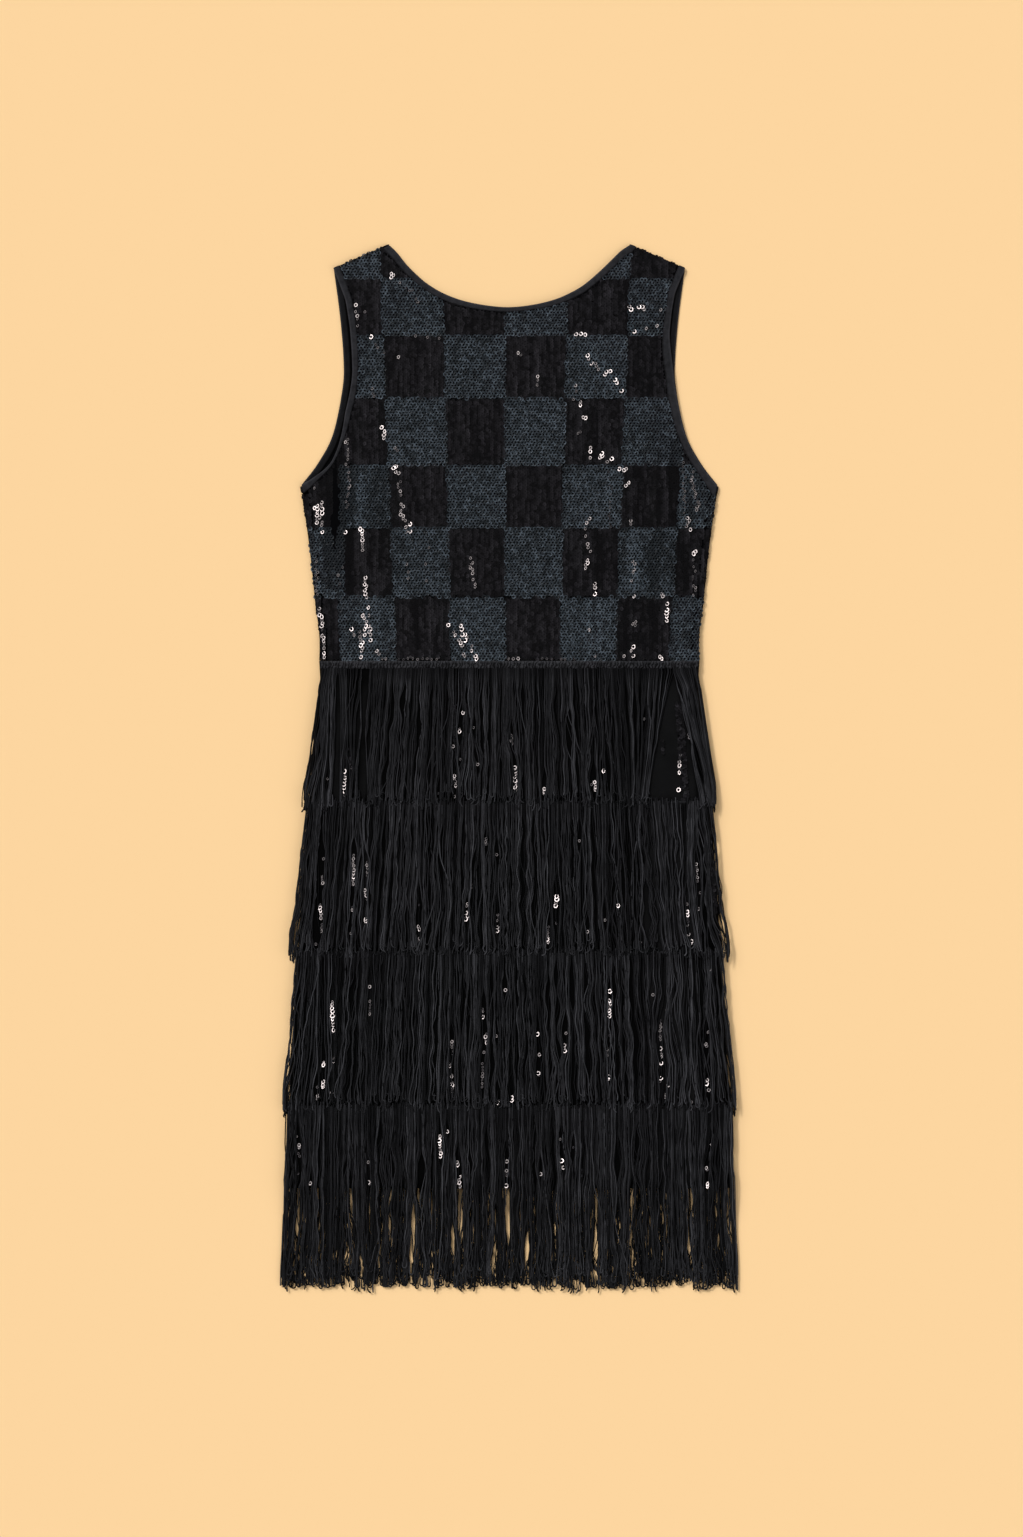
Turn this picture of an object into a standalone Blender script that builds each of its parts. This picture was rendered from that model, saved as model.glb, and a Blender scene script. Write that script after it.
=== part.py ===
"""A sleeveless flapper dress laid flat, front up: a scoop-necked bodice, a short skirt and tiers of fringe.

Sizes are in millimetres and become metres as each mesh is made. +X is to the right seen from above, +Y runs
to the shoulders and +Z is up. The origin lies on the surface that the dress rests on, under its middle.
"""

import bmesh
import bpy
import numpy as np

MM = 0.001


def table(columns, *rows):
    """Rows under named columns, as one structured array."""
    return np.array(list(rows), dtype=[(name, float) for name in columns.split()])


# Cloth: a sequinned mesh with its backing.
WALL = 1.6
GAP = 0.3
FOLD_OUTSIDE = WALL + GAP / 2
FOLD_INSIDE = GAP / 2
FLAP = 7.3
CROWN = 1.4
SHOULDER_ROLL = 40.0

# How far the skirt's back is held off the surface by the fringe under it.
SKIRT_RISE = 2.4
RISE_STARTS_Y = 162.0
RISE_ENDS_Y = 106.0

# The neck's free edge from the left shoulder to the right, which lies a little askew.
NECKLINE = table(
    "x y",
    (-115.2, 501.5), (-108, 494.6), (-99, 483.2), (-90, 474), (-79, 464.6), (-64, 455.6), (-45, 448.3),
    (-22, 443.6), (0, 441.9), (22, 444.1), (42, 448.8), (57, 454.9), (71, 463), (86, 475.6), (99, 488.2),
    (107, 496), (115.2, 501.5),
)

# Right half of the rest of the outline: the back armhole, and the side down to the hem.
ARMHOLE = table(
    "x y",
    (200.8, 270), (184, 292), (169.5, 320), (160.3, 364), (159.3, 392), (162.7, 434), (168.6, 478.5),
)
SIDE = table(
    "x y",
    (218.2, -403.7), (214.6, -324), (206.4, -176.2), (196.3, -32.2), (182.4, 104), (186.6, 158),
    (190.3, 196), (193.4, 222.5), (197.2, 248), (200.8, 270),
)
HEM_Y = -403.7
WAIST_Y = 103.0

# Bias tape that binds the neck and the armholes. The front armholes are cut deeper than the back's, and lie
# unevenly: each table gives how far in from the back's edge one lies, and how wide its tape is.
NECK_TAPE = table(
    "x width", (0, 4.7), (20, 5.0), (40, 5.6), (60, 6.2), (80, 6.5), (100, 7.0), (115.2, 7.6)
)
LEFT_ARM = table(
    "y inset width",
    (270, 0, 6), (279, 6.2, 4.5), (286, 10.6, 3), (294, 12.3, 3), (314, 9, 3.2), (326, 7.8, 4.7),
    (340, 6.6, 6), (358, 7.5, 6.4), (382, 8.3, 5.6), (394, 8.3, 6.2), (423, 8.3, 6.7), (449, 7.1, 6.7),
    (478.5, 0, 7),
)
RIGHT_ARM = table(
    "y inset width",
    (270, 0, 8), (311, 0, 7.6), (334, 0, 9), (376, 0.5, 9), (393, 3.2, 9), (410, 6.2, 7.6),
    (418, 7.1, 7.2), (439, 7.1, 6.2), (456, 6.2, 7.2), (478.5, 0, 7),
)
BACK_ARM = table("y inset width", (270, 0, 7), (478.5, 0, 7))
UNDERARM_TAPE = 8.0
TAPE_WALL = 1.8
ARM_SPANS = 11
NECK_SPANS = 18
CORNER_GAP = 0.7
TURN_STEPS = 3

# Soft folds of the front bodice: ridges that die away over a share of their length at both ends.
FOLD_TAPER = 0.33
FOLDS = table(
    "x0 y0 x1 y1 height spread",
    (-162.7, 306, -160, 165, 1.5, 9),
    (-100.3, 330, -104, 165, 1.2, 11),
    (117.6, 330, 121, 170, 1.3, 10),
    (146, 300, 141, 205, 1.6, 8),
    (72, 408, 116, 352, 1.6, 10),
    (-66, 150, -33, 118, 1.2, 10),
)

# Tiers of fringe: a header tape, and strands from its lower edge down to ragged tips.
TIERS = table(
    "top tip_high tip_low root_half tip_half",
    (102.2, -34, -43, 181.6, 198),
    (-32.2, -175, -182, 195.2, 211),
    (-176.2, -322, -331, 205.4, 219),
    (-324, -474, -501.5, 213.6, 219),
)
HEADER = 8.0
HEADER_WALL = 1.2
LOCK_SHARE = 0.8
FRONT_LOCKS = 32
BACK_LOCKS = 18
SWAY = 3.0
SWAY_PERIOD = 95.0
SWAY_PHASE = 0.37
SWAY_GROWTH = 1.5
BACK_TIP_CLEARANCE = 1.5
BACK_HEM_SPREAD = (-478.0, -496.0)

# Where the last tier's strands part into clumps, from the left to the right.
CLUMP_GAPS = (-219, -192, -152, -134, -92, -49, -13, 34, 82, 116, 148, 183, 219)
CLUMP_GAP = 7.0

# A front strand's place over the cloth, by the share of its length that is behind it.
FRONT_LOCK = table(
    "along width under wall",
    (0.22, 1.00, 0.5, 1.9), (0.55, 0.97, 0.5, 2.2), (0.88, 0.86, 1.75, 1.5), (1.0, 0.45, 1.95, 0.9)
)
# The last front tier sinks beyond the hem, and every back tier lies between the cloth and the surface.
LAST_LOCK = table(
    "along width top wall",
    (0.20, 1.00, 8.6, 2.2), (0.52, 0.97, 8.6, 2.2), (0.76, 0.88, 4.8, 1.9), (1.0, 0.42, 3.4, 1.1)
)
BACK_LOCK = table(
    "along width top wall", (0.25, 1.0, 1.75, 1.5), (0.8, 0.9, 1.65, 1.4), (1.0, 0.5, 1.2, 0.95)
)

CURVE_STEPS = 24
OUTLINE_POINTS = 60
CORNER_SEARCH = 301
NECK_DRAW = 3
BODICE_ROWS = 8
SKIRT_ROWS = 9
STRAP_CELLS = 4
SKIRT_CELLS = 20
FOLD_STEPS = 4

CLOTH = (0.022, 0.024, 0.028)
TAPE = (0.014, 0.014, 0.016)
FRINGE = (0.010, 0.010, 0.011)


def ease(value):
    """0 up to 1 with level ends, held beyond them."""
    held = np.clip(value, 0.0, 1.0)
    return held * held * (3.0 - 2.0 * held)


def plan(points):
    """A table's x and y columns as an array of points."""
    return np.column_stack([points["x"], points["y"]])


def smooth(points, count):
    """`count` points spaced evenly along a Catmull-Rom curve through `points`."""
    ends = np.vstack([2 * points[0] - points[1], points, 2 * points[-1] - points[-2]])
    t = np.linspace(0.0, 1.0, CURVE_STEPS, endpoint=False)[:, None]
    spans = [
        0.5 * (2 * b + (c - a) * t + (2 * a - 5 * b + 4 * c - d) * t**2 + (3 * b - a - 3 * c + d) * t**3)
        for a, b, c, d in zip(ends, ends[1:], ends[2:], ends[3:])
    ]
    dense = np.vstack(spans + [points[-1:]])
    length = np.concatenate([[0.0], np.cumsum(np.hypot(*np.diff(dense, axis=0).T))])
    at = np.linspace(0.0, length[-1], count)
    return np.column_stack([np.interp(at, length, axis) for axis in dense.T])


def offset(points, distances):
    """A plan curve whose points are moved to the left of its direction of travel."""
    run = np.gradient(points, axis=0)
    run /= np.linalg.norm(run, axis=1)[:, None]
    return points + distances[:, None] * np.column_stack([-run[:, 1], run[:, 0]])


NECK_POINT = plan(NECKLINE)[-1]
SHOULDER_TIP = plan(ARMHOLE)[-1]
ALONG_SHOULDER = (NECK_POINT - SHOULDER_TIP) / np.linalg.norm(NECK_POINT - SHOULDER_TIP)
OFF_SHOULDER = np.array([ALONG_SHOULDER[1], -ALONG_SHOULDER[0]])
UNDERARM = plan(ARMHOLE)[0]
OUTLINE = np.vstack([smooth(plan(SIDE), OUTLINE_POINTS), smooth(plan(ARMHOLE), OUTLINE_POINTS)[1:]])


def half_width(y):
    """Half the width of the dress across the cloth at a height y."""
    return np.interp(y, OUTLINE[:, 1], OUTLINE[:, 0])


def rise(y):
    """How far the cloth's underside is off the surface at a height y."""
    return SKIRT_RISE * ease((RISE_STARTS_Y - y) / (RISE_STARTS_Y - RISE_ENDS_Y))


def folds(x, y):
    """Height of the front bodice's soft folds, each a rounded ridge that dies away at its ends."""
    height = np.zeros(np.broadcast(x, y).shape)
    for fold in FOLDS:
        run = np.array([fold["x1"] - fold["x0"], fold["y1"] - fold["y0"]])
        length = np.hypot(*run)
        run = run / length
        along = (x - fold["x0"]) * run[0] + (y - fold["y0"]) * run[1]
        across = (x - fold["x0"]) * run[1] - (y - fold["y0"]) * run[0]
        taper = ease(along / length / FOLD_TAPER) * ease((length - along) / length / FOLD_TAPER)
        height += fold["height"] * taper * np.exp(-((across / fold["spread"]) ** 2))
    return height


def loft(x, y):
    """How far the front cloth stands off its lowest place: a crown between the edges, and the folds."""
    across = np.clip(np.abs(x) / half_width(y), 0.0, 1.0)
    shoulder = NECK_POINT[1] + (NECK_POINT[0] - np.abs(x)) * OFF_SHOULDER[0] / OFF_SHOULDER[1]
    return CROWN * (1.0 - across**4) * ease((shoulder - y) / SHOULDER_ROLL) + folds(x, y)


def front_under(x, y):
    """The underside of the front cloth."""
    return rise(y) + WALL + GAP + loft(x, y)


def front_top(x, y):
    """The upper side of the front cloth."""
    return front_under(x, y) + WALL


def material(name, color, roughness):
    """A plain Principled material."""
    made = bpy.data.materials.new(name)
    made.use_nodes = True
    shader = made.node_tree.nodes["Principled BSDF"]
    shader.inputs["Base Color"].default_value = (*color, 1.0)
    shader.inputs["Roughness"].default_value = roughness
    shader.inputs["Metallic"].default_value = 0.0
    return made


def place(name, points, faces, finish):
    """A named object from points in millimetres and faces that close round it."""
    used, index = np.unique(np.concatenate([np.asarray(face) for face in faces]), return_inverse=True)
    ends = np.cumsum([len(face) for face in faces])[:-1]
    mesh = bpy.data.meshes.new(name)
    mesh.from_pydata((points[used] * MM).tolist(), [], [face.tolist() for face in np.split(index, ends)])
    shape = bmesh.new()
    shape.from_mesh(mesh)
    bmesh.ops.recalc_face_normals(shape, faces=shape.faces)
    shape.to_mesh(mesh)
    shape.free()
    mesh.shade_smooth()
    mesh.set_sharp_from_angle(angle=np.radians(40.0))
    mesh.materials.append(finish)
    made = bpy.data.objects.new(name, mesh)
    bpy.context.scene.collection.objects.link(made)
    return made


def slab(name, upper, lower, present, finish):
    """A wall between two grids of points, a row for each y, that has only the cells in `present`."""
    rows, columns = present.shape
    index = np.arange(upper.shape[0] * upper.shape[1]).reshape(upper.shape[:2])
    below = index.size
    held = np.pad(present, 1)
    faces = []
    for row, column in zip(*np.nonzero(present)):
        corners = (
            index[row, column],
            index[row, column + 1],
            index[row + 1, column + 1],
            index[row + 1, column],
        )
        faces.append(corners)
        faces.append(tuple(corner + below for corner in reversed(corners)))
        beyond = (
            held[row, column + 1],
            held[row + 1, column + 2],
            held[row + 2, column + 1],
            held[row + 1, column],
        )
        for start, end, closed in zip(corners, corners[1:] + corners[:1], beyond):
            if not closed:
                faces.append((start + below, end + below, end, start))
    points = np.concatenate([upper.reshape(-1, 3), lower.reshape(-1, 3)])
    return place(name, points, faces, finish)


def ring(name, sections, finish):
    """A closed tape swept through `sections`, each a loop of the same number of points."""
    count, sides = sections.shape[:2]
    faces = []
    for here in range(count):
        there = (here + 1) % count
        for side in range(sides):
            after = (side + 1) % sides
            corners = ((here, side), (here, after), (there, after), (there, side))
            faces.append([section * sides + corner for section, corner in corners])
    return place(name, sections.reshape(-1, 3), faces, finish)


def stacked(x, y, z):
    """A grid of points from coordinates that share a shape once broadcast."""
    return np.stack(np.broadcast_arrays(x, y, z), axis=-1).astype(float)


def neck_edges():
    """The free edge and the cloth edge of the neck's tape, from the left shoulder to the right."""
    free = smooth(plan(NECKLINE), NECK_SPANS + 1)
    free[-1] -= FOLD_OUTSIDE * OFF_SHOULDER
    free[0] = free[-1] * (-1, 1)
    widths = np.interp(np.abs(free[:, 0]), NECK_TAPE["x"], NECK_TAPE["width"])
    inner = offset(free, -widths)
    inner[-1] = free[-1] - widths[-1] * ALONG_SHOULDER
    inner[0] = inner[-1] * (-1, 1)
    return free, inner


def arm_edges(arm):
    """The free edge and the cloth edge of a right armhole's tape, from the underarm to the shoulder tip."""
    free = smooth(plan(ARMHOLE), ARM_SPANS + 1)
    free[0] -= (FOLD_OUTSIDE, 0)
    free[-1] -= FOLD_OUTSIDE * OFF_SHOULDER
    widths = np.interp(free[:, 1], arm["y"], arm["width"])
    inner = offset(free, widths)
    side_run = UNDERARM - plan(SIDE)[-2]
    inner[0] = free[0] - side_run / np.linalg.norm(side_run) * UNDERARM_TAPE
    inner[-1] = free[-1] + widths[-1] * ALONG_SHOULDER
    moved = np.interp(free[:, 1], arm["y"], arm["inset"])[:, None] * (1, 0)
    return free - moved, inner - moved


def tape_sections(front, back, out_at_end, out_at_start):
    """Sections of a tape ring: its front stretch, the turn over a fold, its back stretch and a turn."""

    def stretch(edges, inside, outside):
        free, inner = edges
        corners = ((free, inside), (free, outside), (inner, outside), (inner, inside))
        return np.stack([np.column_stack([points, level(*points.T)]) for points, level in corners], axis=1)

    def turn(first, last, direction):
        middle = (first[0, 2] + last[0, 2]) / 2
        steps = []
        for angle in np.linspace(0.0, np.pi, TURN_STEPS + 2)[1:-1]:
            share = (1.0 - np.cos(angle)) / 2
            reach = np.abs((1.0 - share) * (first[:, 2] - middle) + share * (middle - last[:, 2]))
            flat = (1.0 - share) * first[:, :2] + share * last[:, :2]
            outward = flat + np.sin(angle) * reach[:, None] * direction
            steps.append(np.column_stack([outward, middle + np.cos(angle) * reach]))
        return np.array(steps)

    front_row = stretch(front, front_under, lambda x, y: front_under(x, y) + TAPE_WALL)
    back_row = stretch(back, lambda x, y: rise(y) + WALL, lambda x, y: rise(y))[::-1]
    over = turn(front_row[-1], back_row[0], out_at_end)
    under = turn(back_row[-1], front_row[0], out_at_start)
    return np.concatenate([front_row, over, back_row, under])


def top_edge():
    """The cloth's upper edge between its shoulder tips: two straps, and the neck between them."""
    neck = neck_edges()[1]
    clear = (FOLD_OUTSIDE - GAP) * OFF_SHOULDER
    tip = arm_edges(BACK_ARM)[1][-1] + clear + CORNER_GAP * ALONG_SHOULDER
    beside_neck = neck[-1] + clear - 2 * CORNER_GAP * ALONG_SHOULDER
    strap = np.linspace(tip, beside_neck, STRAP_CELLS + 1)
    return np.vstack([strap * (-1, 1), neck[1:-1] - (0, CORNER_GAP), strap[::-1]])


def beside_tape(arm):
    """The cloth's right edge along an armhole's tape, with a point at each of the tape's sections."""
    return np.vstack([arm_edges(arm)[1][:-1] - (CORNER_GAP, 0), top_edge()[-1]])


def bodice_plan(left, right):
    """x and y of a bodice panel's grid, from its side edges' points up to the shoulders and the neckline."""
    top = top_edge()
    share = (top[:, 0] / top[-1, 0])[None, :]
    x = np.where(share < 0, left[:, :1], right[:, :1]) * share
    level = (1 - share) / 2 * left[:, 1:] + (1 + share) / 2 * right[:, 1:]
    middle = (left[:, 1] + right[:, 1]) / 2
    bend = ((middle - middle[0]) / (middle[-1] - middle[0])) ** NECK_DRAW
    return x, level + (top[:, 1] - top[-1, 1])[None, :] * bend[:, None]


def front_edge(arm):
    """The front panel's right edge: beside the back's flap up to the tape, and along the tape."""
    tape = beside_tape(arm)
    heights = np.linspace(tape[0, 1], tape[1, 1], CORNER_SEARCH)
    reach = np.interp(heights, tape[:, 1], tape[:, 0])
    meets_flap = heights[np.argmax(reach < half_width(heights) - FLAP)]
    y = np.linspace(WAIST_Y + GAP / 2, meets_flap, BODICE_ROWS + 1)
    return np.vstack([np.column_stack([half_width(y) - FLAP, y]), tape[1:]])


def front_bodice(finish):
    """The front panel, which lies between the back's flaps and the armholes' tapes."""
    x, y = bodice_plan(front_edge(LEFT_ARM), front_edge(RIGHT_ARM))
    upper = stacked(x, y, front_top(x, y))
    lower = stacked(x, y, front_under(x, y))
    present = np.ones((x.shape[0] - 1, x.shape[1] - 1), bool)
    return slab("front_bodice", upper, lower, present, finish)


def side_fold(edge, y, base, flap_y):
    """Inside and outside points of a back panel's right side, from its fold's start to its flap's end."""
    angle = np.linspace(0.0, np.pi, FOLD_STEPS + 1)[None, 1:]
    start = (edge - FOLD_OUTSIDE)[:, None]
    level = (base + WALL + GAP / 2)[:, None]
    sides = []
    for radius in (FOLD_INSIDE, FOLD_OUTSIDE):
        arc = stacked(start + radius * np.sin(angle), y[:, None], level - radius * np.cos(angle))
        end = stacked((edge - FLAP + GAP)[:, None], flap_y[:, None], level + radius)
        sides.append(np.concatenate([arc, end], axis=1))
    return sides


def wrapped(name, x, y, folded_rows, flap_y, finish):
    """A back panel: a flat wall whose side edges wrap up and over, as flaps, as far as `folded_rows`."""
    base = rise(y)
    inside = stacked(x, y, base + WALL)
    outside = stacked(x, y, base)
    right = side_fold(half_width(y[:, -1]), y[:, -1], base[:, -1], flap_y)
    grids = []
    for flat, fold in zip((inside, outside), right):
        mirrored = fold[:, ::-1] * (-1, 1, 1)
        grids.append(np.concatenate([mirrored, flat, fold], axis=1))
    present = np.ones((x.shape[0] - 1, grids[0].shape[1] - 1), bool)
    strip = FOLD_STEPS + 1
    present[folded_rows:, :strip] = False
    present[folded_rows:, -strip:] = False
    return slab(name, *grids, present, finish)


def back_bodice(finish):
    """The back panel, with its side folds up to the underarms."""
    tape = beside_tape(BACK_ARM)
    y = np.linspace(WAIST_Y + GAP / 2, tape[0, 1] - CORNER_GAP, BODICE_ROWS + 1)
    edge = np.vstack([np.column_stack([half_width(y) - FOLD_OUTSIDE, y]), tape[1:]])
    x, y = bodice_plan(edge, edge)
    return wrapped("back_bodice", x, y, BODICE_ROWS, edge[:, 1], finish)


def front_skirt(finish):
    """The front of the skirt's base, between the back's flaps."""
    rows = np.linspace(HEM_Y, WAIST_Y - GAP / 2, SKIRT_ROWS + 1)
    share = np.linspace(-1.0, 1.0, SKIRT_CELLS + 1)
    x = (half_width(rows) - FLAP)[:, None] * share[None, :]
    y = np.broadcast_to(rows[:, None], x.shape)
    upper = stacked(x, y, front_top(x, y))
    lower = stacked(x, y, front_under(x, y))
    return slab("front_skirt", upper, lower, np.ones((SKIRT_ROWS, SKIRT_CELLS), bool), finish)


def back_skirt(finish):
    """The back of the skirt's base, folded round both sides down to the hem."""
    rows = np.linspace(HEM_Y, WAIST_Y - GAP / 2, SKIRT_ROWS + 1)
    share = np.linspace(-1.0, 1.0, SKIRT_CELLS // 2 + 1)
    x = (half_width(rows) - FOLD_OUTSIDE)[:, None] * share[None, :]
    y = np.broadcast_to(rows[:, None], x.shape)
    return wrapped("back_skirt", x, y, SKIRT_ROWS, rows, finish)


def straight(x):
    """Tips that hang evenly."""
    return x


def clumped(x):
    """Tips of the last tier drawn together between the places where its strands part."""
    gaps = np.array(CLUMP_GAPS, float)
    group = np.clip(np.searchsorted(gaps, x, side="right") - 1, 0, len(gaps) - 2)
    left, right = gaps[group], gaps[group + 1]
    middle = (left + right) / 2
    return middle + (x - middle) * (1.0 - CLUMP_GAP / (right - left))


def ragged(count, seed):
    """Uneven lengths from 0 to 1, one a strand, that reach both ends of that range."""
    values = np.random.default_rng(seed).random(count)
    return (values - values.min()) / (values.max() - values.min())


def fringe(name, tier, count, shape, tips, seed, heights, finish):
    """A header tape and its strands as one comb: only every second cell runs on below the tape."""
    widths = np.where(np.arange(2 * count + 1) % 2, LOCK_SHARE, 1.0 - LOCK_SHARE)
    share = np.concatenate([[0.0], np.cumsum(widths)]) / widths.sum() * 2.0 - 1.0
    root_x = tier["root_half"] * share
    bottom = tier["top"] - HEADER
    left, right = root_x[1:-1:2], root_x[2::2]
    centre = (left + right) / 2
    half = (right - left) / 2
    edge = np.abs(centre) / centre.max()
    tip_x = tips(centre * (tier["tip_half"] - half * shape["width"][-1]) / centre.max())
    tip_y = tier["tip_low"] + (tier["tip_high"] - tier["tip_low"]) * ragged(count, seed)
    sway = SWAY * np.sin(2.0 * np.pi * (centre / SWAY_PERIOD + seed * SWAY_PHASE)) * (1.0 - edge**4)
    rows_x = [root_x, root_x]
    rows_y = [np.full_like(root_x, tier["top"]), np.full_like(root_x, bottom)]
    for step in shape:
        along = step["along"]
        middle = centre + (tip_x - centre) * along + sway * along**SWAY_GROWTH
        row_x = root_x.copy()
        row_x[1:-1:2] = middle - half * step["width"]
        row_x[2::2] = middle + half * step["width"]
        row_y = np.full_like(root_x, bottom)
        row_y[1:-1:2] = bottom + (tip_y - bottom) * along
        row_y[2::2] = row_y[1:-1:2]
        rows_x.append(row_x)
        rows_y.append(row_y)
    x = np.array(rows_x)[::-1]
    y = np.array(rows_y)[::-1]
    upper_z, lower_z = heights(x, y)
    present = np.zeros((len(shape) + 1, 2 * count + 1), bool)
    present[-1] = True
    present[:, 1::2] = True
    return slab(name, stacked(x, y, upper_z), stacked(x, y, lower_z), present, finish)


def front_heights(x, y):
    """Top and underside of a front tier that lies on the cloth and over the next tier's header."""
    cloth = front_top(x, y)
    under = np.full(x.shape, GAP)
    wall = np.full(x.shape, HEADER_WALL)
    under[:-2] = FRONT_LOCK["under"][::-1, None]
    wall[:-2] = FRONT_LOCK["wall"][::-1, None]
    return cloth + under + wall, cloth + under


def last_heights(x, y):
    """The same for the last front tier, which sinks towards the surface beyond the hem."""
    cloth = front_top(x, y)
    upper = cloth + GAP + HEADER_WALL
    upper[:-2] = LAST_LOCK["top"][::-1, None]
    upper[-4:-2] += loft(x, y)[-4:-2]
    wall = np.full(x.shape, HEADER_WALL)
    wall[:-2] = LAST_LOCK["wall"][::-1, None]
    return upper, upper - wall


def back_heights(x, y):
    """The same for a back tier, which lies between the cloth's underside and the surface."""
    upper = np.full(x.shape, SKIRT_RISE - GAP)
    wall = np.full(x.shape, HEADER_WALL)
    upper[:-2] = BACK_LOCK["top"][::-1, None]
    wall[:-2] = BACK_LOCK["wall"][::-1, None]
    return upper, upper - wall


def all_fringe(finish):
    """Every tier, front and back; a back tier ends just above the next one's header."""
    for number, tier in enumerate(TIERS, start=1):
        last = number == len(TIERS)
        fringe(
            f"front_fringe_{number}",
            tier,
            FRONT_LOCKS,
            LAST_LOCK if last else FRONT_LOCK,
            clumped if last else straight,
            number,
            last_heights if last else front_heights,
            finish,
        )
        behind = tier.copy()
        if last:
            behind["tip_high"], behind["tip_low"] = BACK_HEM_SPREAD
        else:
            behind["tip_low"] = TIERS["top"][number] + BACK_TIP_CLEARANCE
            behind["tip_high"] = behind["tip_low"] + (tier["tip_high"] - tier["tip_low"])
        seed = number + len(TIERS)
        fringe(f"back_fringe_{number}", behind, BACK_LOCKS, BACK_LOCK, straight, seed, back_heights, finish)


def bindings(finish):
    """Tape round the neck and round each armhole."""
    neck = neck_edges()
    ring("neck_binding", tape_sections(neck, neck, OFF_SHOULDER, OFF_SHOULDER * (-1, 1)), finish)
    for name, arm, sign in (("left", LEFT_ARM, -1), ("right", RIGHT_ARM, 1)):
        sections = tape_sections(arm_edges(arm), arm_edges(BACK_ARM), OFF_SHOULDER, np.array([1.0, 0.0]))
        ring(f"armhole_binding_{name}", sections * (sign, 1, 1), finish)


def main():
    for old in list(bpy.data.objects):
        bpy.data.objects.remove(old)
    cloth = material("sequinned cloth", CLOTH, 0.5)
    tape = material("bias tape", TAPE, 0.8)
    cord = material("rayon fringe", FRINGE, 0.6)
    back_bodice(cloth)
    front_bodice(cloth)
    back_skirt(cloth)
    front_skirt(cloth)
    bindings(tape)
    all_fringe(cord)


main()
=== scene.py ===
"""Dresses a flat-laid flapper dress: sequins, bias tape, ribbed headers and chainette fringe on its solids.

Shapes are worked out in millimetres in the dress's own frame, and become metres as each mesh is made.
"""

from __future__ import annotations

import logging
from dataclasses import dataclass, field
from enum import Enum

import bpy
import numpy as np
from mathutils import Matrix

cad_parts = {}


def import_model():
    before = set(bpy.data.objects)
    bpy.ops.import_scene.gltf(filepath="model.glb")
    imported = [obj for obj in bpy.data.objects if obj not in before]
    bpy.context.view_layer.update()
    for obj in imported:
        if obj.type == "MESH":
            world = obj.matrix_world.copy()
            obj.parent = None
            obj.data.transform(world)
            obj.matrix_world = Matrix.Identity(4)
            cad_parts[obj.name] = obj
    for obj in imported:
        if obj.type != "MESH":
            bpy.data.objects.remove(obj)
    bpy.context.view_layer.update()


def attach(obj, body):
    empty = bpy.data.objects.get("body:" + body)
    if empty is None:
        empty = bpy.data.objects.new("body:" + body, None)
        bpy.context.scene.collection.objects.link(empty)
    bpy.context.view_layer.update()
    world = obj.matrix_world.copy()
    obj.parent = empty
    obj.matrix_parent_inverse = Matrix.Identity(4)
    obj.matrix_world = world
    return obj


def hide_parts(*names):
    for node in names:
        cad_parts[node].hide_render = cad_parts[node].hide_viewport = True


LOG = logging.getLogger("flapper_dress")
MM = 0.001
TURN = 2.0 * np.pi
# The tone above which a sequin's film is a painted glint: light and nearly metal.
PAINTED_GLINT_TONE = 0.8
DYED_FILM = 0.78
KEY_LIGHT = (-0.50, 0.52, 0.69)
Array = np.ndarray
Piece = bpy.types.Object
Rng = np.random.Generator
Pair = tuple[float, float]
Color = tuple[float, float, float, float]
Waves = tuple[Pair, ...]


class Check(Enum):
    """The two kinds of square in the bodice's check."""

    SLATE = "slate"
    BLACK = "black"


class Face(Enum):
    """The dress's two sides as it lies."""

    FRONT = "front"
    BACK = "back"


# ---- Shared numbers and curves ---------------------------------------


def table(columns: str, *rows: tuple) -> Array:
    """Rows under named columns, as one structured array."""
    return np.array(list(rows), dtype=[(name, float) for name in columns.split()])


def fixed(columns: str, *rows: tuple) -> Array:
    """A dataclass field that starts as a table of its own."""
    return field(default_factory=lambda: table(columns, *rows))


def ease(value: Array) -> Array:
    """0 up to 1 with level ends, held beyond them: 3v squared less 2v cubed."""
    held = np.clip(value, 0, 1)
    return held * held * (3.0 - 2.0 * held)


def plan(points: Array) -> Array:
    """A table's x and y columns as an array of points."""
    return np.column_stack([points["x"], points["y"]])


def smooth(points: Array, count: int, steps: int = 24) -> Array:
    """A Catmull-Rom curve through points, sampled evenly along its length.

    Args:
        points: the points it goes through, one a row.
        count: how many samples.
        steps: samples a span before they are evened out.

    Returns:
        The samples, one a row.
    """
    ends = np.vstack([2 * points[0] - points[1], points, 2 * points[-1] - points[-2]])
    t = np.linspace(0, 1, steps, endpoint=False)[:, None]
    spans = [
        0.5 * (2 * b + (c - a) * t + (2 * a - 5 * b + 4 * c - d) * t**2 + (3 * b - a - 3 * c + d) * t**3)
        for a, b, c, d in zip(ends, ends[1:], ends[2:], ends[3:])
    ]
    dense = np.vstack(spans + [points[-1:]])
    length = np.concatenate([[0.0], np.cumsum(np.linalg.norm(np.diff(dense, axis=0), axis=1))])
    at = np.linspace(0, length[-1], count)
    return np.column_stack([np.interp(at, length, axis) for axis in dense.T])


def offset(points: Array, distances: Array) -> Array:
    """A plan curve whose points are moved to the left of its direction of travel."""
    run = np.gradient(points, axis=0)
    run /= np.linalg.norm(run, axis=1)[:, None]
    return points + distances[:, None] * np.column_stack([-run[:, 1], run[:, 0]])


def softly(at: Array, places: Array, values: Array, reach: float = 5.0) -> Array:
    """A table's values between its places, with each kink rounded over a reach to both sides."""
    return np.mean([np.interp(at + shift, places, values) for shift in np.linspace(-reach, reach, 7)], axis=0)


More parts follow.
